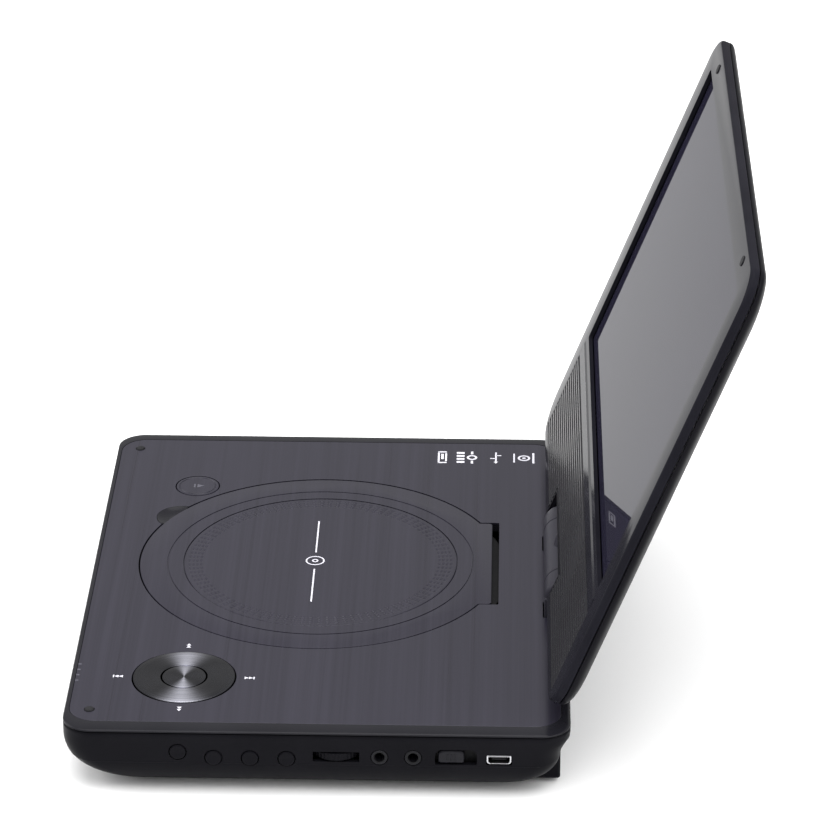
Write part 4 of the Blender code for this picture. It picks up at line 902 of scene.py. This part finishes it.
def other_marks():
    """The open key's mark, the line and disc ring on the door, and four ticks by the front corner."""
    low, high = extent("open_key")
    key = (low + high) / 2
    marks = [triangle(key.x, key.y + 1.2, 2.6, (0, 1)), bar(key.x, key.y - 1.1, 2.9, 0.6)]
    print_marks("open_mark", marks, FAINT, high.z - 0.03, "open_key")

    disc_y = DOOR_Y - 2.0
    marks = [bar(DOOR_X + shift, disc_y, 25.0, LINE_WIDTH) for shift in (-19.0, 19.0)]
    marks += ring_mark(DOOR_X, disc_y, 3.2, LINE_WIDTH, 32)
    marks += ring_mark(DOOR_X, disc_y, 0.9, LINE_WIDTH)
    print_marks("door_mark", marks, PRINT, DECK - 0.06, "door")

    marks = [bar(69.7 + 3.8 * step, -84.0, 0.7, 1.1) for step in range(4)]
    print_marks("indicator_marks", marks, FAINT, DECK, "base")


# Hinge and screen

SCREEN_LOW = -1.8
SCREEN_TOP = SCREEN_LOW + 2 * HALF_Y
FACE = -6.2
BACK = 6.2
SEAM_Y = -3.2
DOME = (52.0, 55.0, 5.0)
DOME_DEPTH = 8.6
DISPLAY_HALF = 101.4
DISPLAY_HIGH = SCREEN_TOP - 10.9
DISPLAY_LOW = DISPLAY_HIGH - 117.1
GRILLE_HALF = 103.0
GRILLE_LOW = 1.8
GRILLE_TOP = 33.8
NOTCH_HALF = 32.5
NOTCH_TOP = 9.0
LOW_CORNER, TOP_CORNER = 14.0, 11.0
LINER = 1.7
BARREL = 6.9
KNUCKLE = 19.7
LUG_START = KNUCKLE + 0.4
NECK_LOW, NECK_BACK = 14.0, 4.1


def hinge_lug(side, word, reach):
    """One fixed lug: a barrel with a round outer end, on its neck."""
    length = reach - LUG_START
    end, bore, depth, steps = 2.4, 2.3, 3.0, 6
    profile = [(0, depth), (bore, depth), (bore, 0), (BARREL - 0.25, 0), (BARREL, 0.25),
               (BARREL, length - end)]
    for step in range(1, steps + 1):
        angle = math.radians(90 * step / steps)
        profile.append((BARREL - end * (1 - math.cos(angle)), length - end + end * math.sin(angle)))
    profile.append((0, length))
    start = Matrix.Translation((side * LUG_START, TILT.y, TILT.z))
    place = start @ Matrix.Rotation(side * math.pi / 2, 4, "Y")
    lug = turned(f"hinge_lug_{word}", profile, (0, 0, 0), HINGE, 96, place)
    near, far = sorted((side * LUG_START, side * (reach - 0.1)))
    neck = block(f"hinge_neck_{word}", (near, TILT.y - BARREL + 0.05, NECK_LOW),
                 (far, TILT.y - NECK_BACK, TILT.z), HINGE, edge=0.5)
    return lug, neck


def hinge():
    """The barrel: two fixed lugs on necks, the plate under them, the knuckle between and its turret."""
    low, high = extent("hinge_bracket")
    for side, word in ((-1, "left"), (1, "right")):
        lug, neck = hinge_lug(side, word, high.x)
        if side < 0:
            dress(lug, "base", "case", "hinge_bracket")
        else:
            dress(lug, "base", "case")
        dress(neck, "base", "case")
    plate = block("hinge_plate", low, (high.x, TILT.y - NECK_BACK, low.z + 2), STEEL, edge=0.4)
    dress(plate, "base", "case")
    middle = turned("hinge_knuckle_skin", [
        (2.3, -KNUCKLE), (BARREL - 0.25, -KNUCKLE), (BARREL, 0.25 - KNUCKLE), (BARREL, KNUCKLE - 0.25),
        (BARREL - 0.25, KNUCKLE), (2.3, KNUCKLE),
    ], (0, 0, 0), HINGE, 96, SCREEN_PLACE, "X")
    dress(middle, "hinge_knuckle", "case", "tilt_knuckle")
    turret = turned("hinge_turret", [
        (2.8, 4.0), (5.4, 4.0), (5.9, NOTCH_TOP - 1.2), (5.9, NOTCH_TOP - 0.6), (5.6, NOTCH_TOP - 0.3),
        (2.8, NOTCH_TOP - 0.3),
    ], (0, 0, 0), HINGE, 72, SCREEN_PLACE)
    dress(turret, "hinge_knuckle", "case")


def screen_ring(y, inset):
    """The screen's outline at a depth, set in all round."""
    low_corner = LOW_CORNER - inset * 0.5
    top_corner = TOP_CORNER - inset * 0.5
    outline = round_rect(inset - HALF_X, HALF_X - inset, SCREEN_LOW + inset, SCREEN_TOP - inset,
                         (low_corner, low_corner, top_corner, top_corner), 12)
    return [(x, y, z) for x, z in outline]


def notch_tool(y_low, y_high):
    """The hinge notch in the screen's lower edge, as a tool."""
    return block("tool", (-NOTCH_HALF, y_low, SCREEN_LOW - 2), (NOTCH_HALF, y_high, NOTCH_TOP), DARK,
                 SCREEN_PLACE, edge=0.0)


def bezel():
    """The front frame with its rounded rim, display opening and grille seat."""
    rim, steps = 1.4, 8
    rings = []
    for step in range(steps + 1):
        angle = math.radians(90 * step / steps)
        rings.append(screen_ring(FACE + rim * (1 - math.cos(angle)), rim * (1 - math.sin(angle))))
    rings += [screen_ring(SEAM_Y - 0.2, 0), screen_ring(SEAM_Y, 0.2)]
    piece = loft("bezel_skin", rings, BEZEL, SCREEN_PLACE)
    hollow = loft("tool", [screen_ring(FACE + 1.6, 2.4), screen_ring(SEAM_Y + 1, 2.0)], BEZEL, SCREEN_PLACE)
    outline = round_rect(-DISPLAY_HALF, DISPLAY_HALF, DISPLAY_LOW, DISPLAY_HIGH, (1.2,) * 4, 5)
    window = loft("tool", [[(x, y, z) for x, z in outline] for y in (FACE - 2, SEAM_Y + 1)], DARK,
                  SCREEN_PLACE)
    gap = 0.2
    seat = block("tool", (-GRILLE_HALF - gap, FACE - 1, GRILLE_LOW - gap),
                 (GRILLE_HALF + gap, FACE + 0.9, GRILLE_TOP + gap), DARK, SCREEN_PLACE, edge=0.0)
    carve(piece, hollow, window, seat, notch_tool(FACE - 1, SEAM_Y + 1))
    soften(piece, 0.15, 2)
    dress(piece, "screen", "gloss", "screen_bezel")


def notch_liner():
    """The wall round the hinge notch that closes both shells."""
    outer, inner = NOTCH_HALF + LINER, NOTCH_HALF + 0.02
    top_out, top_in = NOTCH_TOP + LINER, NOTCH_TOP + 0.02
    low = SCREEN_LOW + 0.35
    path = [(-outer, low), (-outer, top_out), (outer, top_out), (outer, low), (inner, low), (inner, top_in),
            (-inner, top_in), (-inner, low)]
    rings = [[(x, y, z) for x, z in path] for y in (FACE + 0.25, BACK - 0.25)]
    liner = loft("notch_liner", rings, CASE, SCREEN_PLACE)
    carve(liner, cylinder_tool(0, 0, NOTCH_TOP, 2.8, 6, "Z", 40, SCREEN_PLACE))
    dress(liner, "screen", "case")


def grille():
    """The lower panel with its fine grooves along X."""
    pitch, depth, flat, steps = 1.88, 0.42, 0.35, 6
    count = int((GRILLE_TOP - GRILLE_LOW) / pitch)
    profile = [(FACE + 0.75, GRILLE_LOW), (FACE + 0.05, GRILLE_LOW)]
    start = GRILLE_LOW + (GRILLE_TOP - GRILLE_LOW - count * pitch) / 2
    for groove in range(count):
        z = start + groove * pitch
        for step in range(steps):
            share = step / steps
            dip = depth * max(0.0, math.sin(math.pi * (share - flat) / (1 - flat))) if share > flat else 0.0
            profile.append((FACE + 0.02 + dip, z + share * pitch))
    profile += [(FACE + 0.02, GRILLE_TOP), (FACE + 0.75, GRILLE_TOP)]
    rings = [[(x, y, z) for y, z in profile] for x in (-GRILLE_HALF, GRILLE_HALF)]
    piece = loft("grille_skin", rings, GRILLE, SCREEN_PLACE, smooth=50)
    around = 1.8
    tool = block("tool", (-NOTCH_HALF - around, FACE - 1, SCREEN_LOW),
                 (NOTCH_HALF + around, FACE + 2, NOTCH_TOP + around), DARK, SCREEN_PLACE, edge=0.0)
    carve(piece, tool)
    dress(piece, "screen", "case", "speaker_grille")


def facets():
    """Two flat glossy strips between the grille and the display opening."""
    low, middle, high = GRILLE_TOP + 0.35, GRILLE_TOP + 5.2, DISPLAY_LOW - 0.1
    profile = [(FACE + 0.4, low), (FACE - 0.02, low + 0.1), (FACE - 0.22, middle), (FACE + 0.35, high),
               (FACE + 0.9, high)]
    rings = [[(x, y, z) for y, z in profile] for x in (-DISPLAY_HALF - 1.5, DISPLAY_HALF + 1.5)]
    piece = loft("bezel_facets", rings, BEZEL, SCREEN_PLACE, smooth=2)
    soften(piece, 0.08, 1, 4)
    dress(piece, "screen", "gloss")


def display():
    """The dark display face in its opening."""
    face = FACE + 1.95
    gap, edge = 0.1, 0.05
    rings = []
    for inset, y in ((gap + edge, face), (gap, face + edge), (gap, face + 2.0)):
        outline = round_rect(inset - DISPLAY_HALF, DISPLAY_HALF - inset, DISPLAY_LOW + inset,
                             DISPLAY_HIGH - inset, (1.1,) * 4, 5)
        rings.append([(x, y, z) for x, z in outline])
    piece = loft("display_face", rings, GLASS, SCREEN_PLACE)
    dress(piece, "screen", "display", "lcd_panel")


def dome_rings(wall):
    """Rings of the domed back, from its flat out to the seam, brought in by a wall."""
    rings = []
    steps = 18
    low_corner, top_corner = LOW_CORNER - wall / 2, TOP_CORNER - wall / 2
    for step in range(steps + 1):
        angle = math.radians(90 * step / steps)
        share = 1 - math.sin(angle)
        side, top, low = (reach * share + wall for reach in DOME)
        outline = round_rect(side - HALF_X, HALF_X - side, SCREEN_LOW + low, SCREEN_TOP - top,
                             (low_corner, low_corner, top_corner, top_corner), 12)
        y = BACK - wall - (DOME_DEPTH - wall) * (1 - math.cos(angle))
        rings.append([(x, y, z) for x, z in outline])
    rings.append(screen_ring(SEAM_Y + 0.5, wall))
    rings.append(screen_ring(SEAM_Y + 0.3, wall + 0.2))
    return rings


def back_shell():
    """The rear shell, a broad dome with two groups of vent slots."""
    piece = loft("back_shell_skin", dome_rings(0.0), CASE, SCREEN_PLACE)
    hollow = dome_rings(LINER)[:-1] + [screen_ring(SEAM_Y - 1, LINER)]
    tools = [loft("tool", hollow, CASE, SCREEN_PLACE), notch_tool(SEAM_Y - 1, BACK + 1)]
    first, pitch, count = 62, 4.0, 7
    for side in (-1, 1):
        for slot in range(count):
            x = side * (first + pitch * slot)
            outline = round_rect(x - 0.8, x + 0.8, 10, 26, (0.75,) * 4, 4)
            rings = [[(a, y, b) for a, b in outline] for y in (BACK - 3, BACK + 1)]
            tools.append(loft("tool", rings, DARK, SCREEN_PLACE))
    carve(piece, *tools)
    dress(piece, "screen", "case", "screen_back_shell")


def carried_nodes():
    """Give each CAD node that still shows its own finish."""
    by_finish = (
        (CASE, ("battery_cover",)),
        (DARK, ("disc_well", "switch_body", "headphone_jack", "av_jack", "speaker_left", "speaker_right")),
        (STEEL, ("mech_chassis", "spindle_motor", "sled_motor", "guide_rod_left", "guide_rod_right",
                 "door_hinge_pin", "tilt_shaft", "swivel_post", "case_screw_front_left",
                 "case_screw_front_right", "case_screw_rear_left", "case_screw_rear_right")),
        (GREY, ("sled_gear", "turntable", "pickup_carriage", "volume_pot", "door_latch")),
        (LENS, ("pickup_lens",)),
        (BOARD, ("main_board", "nav_switch_board", "driver_board")),
        (CELL, ("battery_pack",)),
        (RUBBER, ("nav_pad", "screen_pad_left", "screen_pad_right")),
    )
    for finish, names in by_finish:
        for name in names:
            materials = NODES[name].data.materials
            materials.clear()
            materials.append(finish)


# Floor, light and camera

def floor():
    """A pale floor under the part."""
    bpy.ops.mesh.primitive_plane_add(size=30.0, location=(0, 0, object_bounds()[0][2]))
    plane = bpy.context.object
    plane.name = "floor"
    made, tree, shader, coords = new_material("floor_white")
    slow = stretched_noise(tree, coords, (1.5, 1.5, 1.5), 2.0)
    tone = tinted(tree, ranged(tree, slow, 0, 1), (0.93, 0.93, 0.93), (0.95, 0.95, 0.95))
    tree.links.new(tone, shader.inputs["Base Color"])
    shader.inputs["Roughness"].default_value = 0.9
    plane.data.materials.append(made)
    plane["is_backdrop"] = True


def surround():
    """White light from all round, stronger from above."""
    world = bpy.data.worlds.new("studio")
    bpy.context.scene.world = world
    world.use_nodes = True
    tree = world.node_tree
    where = tree.nodes.new("ShaderNodeTexCoord")
    split = tree.nodes.new("ShaderNodeSeparateXYZ")
    tree.links.new(where.outputs["Generated"], split.inputs["Vector"])
    height = ranged(tree, split.outputs["Z"], 0.25, 1.15, -0.1, 0.8)
    background = tree.nodes["Background"]
    tree.links.new(height, background.inputs["Strength"])
    background.inputs["Color"].default_value = (1.0, 1.0, 1.0, 1.0)


def lamps():
    """Three broad area lights aimed at the part."""
    for name, place, size, power in (
        ("overhead", (0.2, 0.1, 1.6), 1.8, 34.0),
        ("left_front", (-0.4, -1.5, 1.0), 1.2, 14.0),
        ("right_rear", (0.7, 1.5, 0.9), 1.2, 8.0),
    ):
        data = bpy.data.lights.new(name, "AREA")
        data.size = size
        data.energy = power
        light = bpy.data.objects.new(name, data)
        light.location = place
        toward = Vector((0.0, 0.0, 0.05)) - Vector(place)
        light.rotation_euler = toward.to_track_quat("-Z", "Y").to_euler()
        bpy.context.scene.collection.objects.link(light)


def camera():
    """The view from the player's right side and a little above."""
    place = Vector((1274.1, 60.5, 700.4)) * MM
    yaw, pitch, roll = math.radians(1.35), math.radians(25.64), math.radians(0.13)
    toward = Vector((-math.cos(pitch) * math.cos(yaw), -math.cos(pitch) * math.sin(yaw), -math.sin(pitch)))
    right = toward.cross(Vector((0, 0, 1))).normalized()
    up = right.cross(toward)
    right, up = (right * math.cos(roll) + up * math.sin(roll), up * math.cos(roll) - right * math.sin(roll))
    view = bpy.data.objects.new("camera", bpy.data.cameras.new("camera"))
    view.matrix_world = Matrix((
        (right.x, up.x, -toward.x, place.x),
        (right.y, up.y, -toward.y, place.y),
        (right.z, up.z, -toward.z, place.z),
        (0, 0, 0, 1),
    ))
    view.data.lens = 172.47
    view.data.sensor_width = 36.0
    view.data.clip_end = 100.0
    bpy.context.scene.collection.objects.link(view)
    bpy.context.scene.camera = view
    bpy.context.scene.view_settings.view_transform = "Standard"


base_shell()
top_cover()
deck()
finger_scoop()
disc_door()
knuckle_pieces()
door_inlay()
keys()
volume_wheel()
sockets()
slide_switch()
port()
small_parts()
ring_arrows()
function_marks()
other_marks()
hinge()
bezel()
notch_liner()
grille()
facets()
display()
back_shell()
carried_nodes()
floor()
surround()
lamps()
camera()
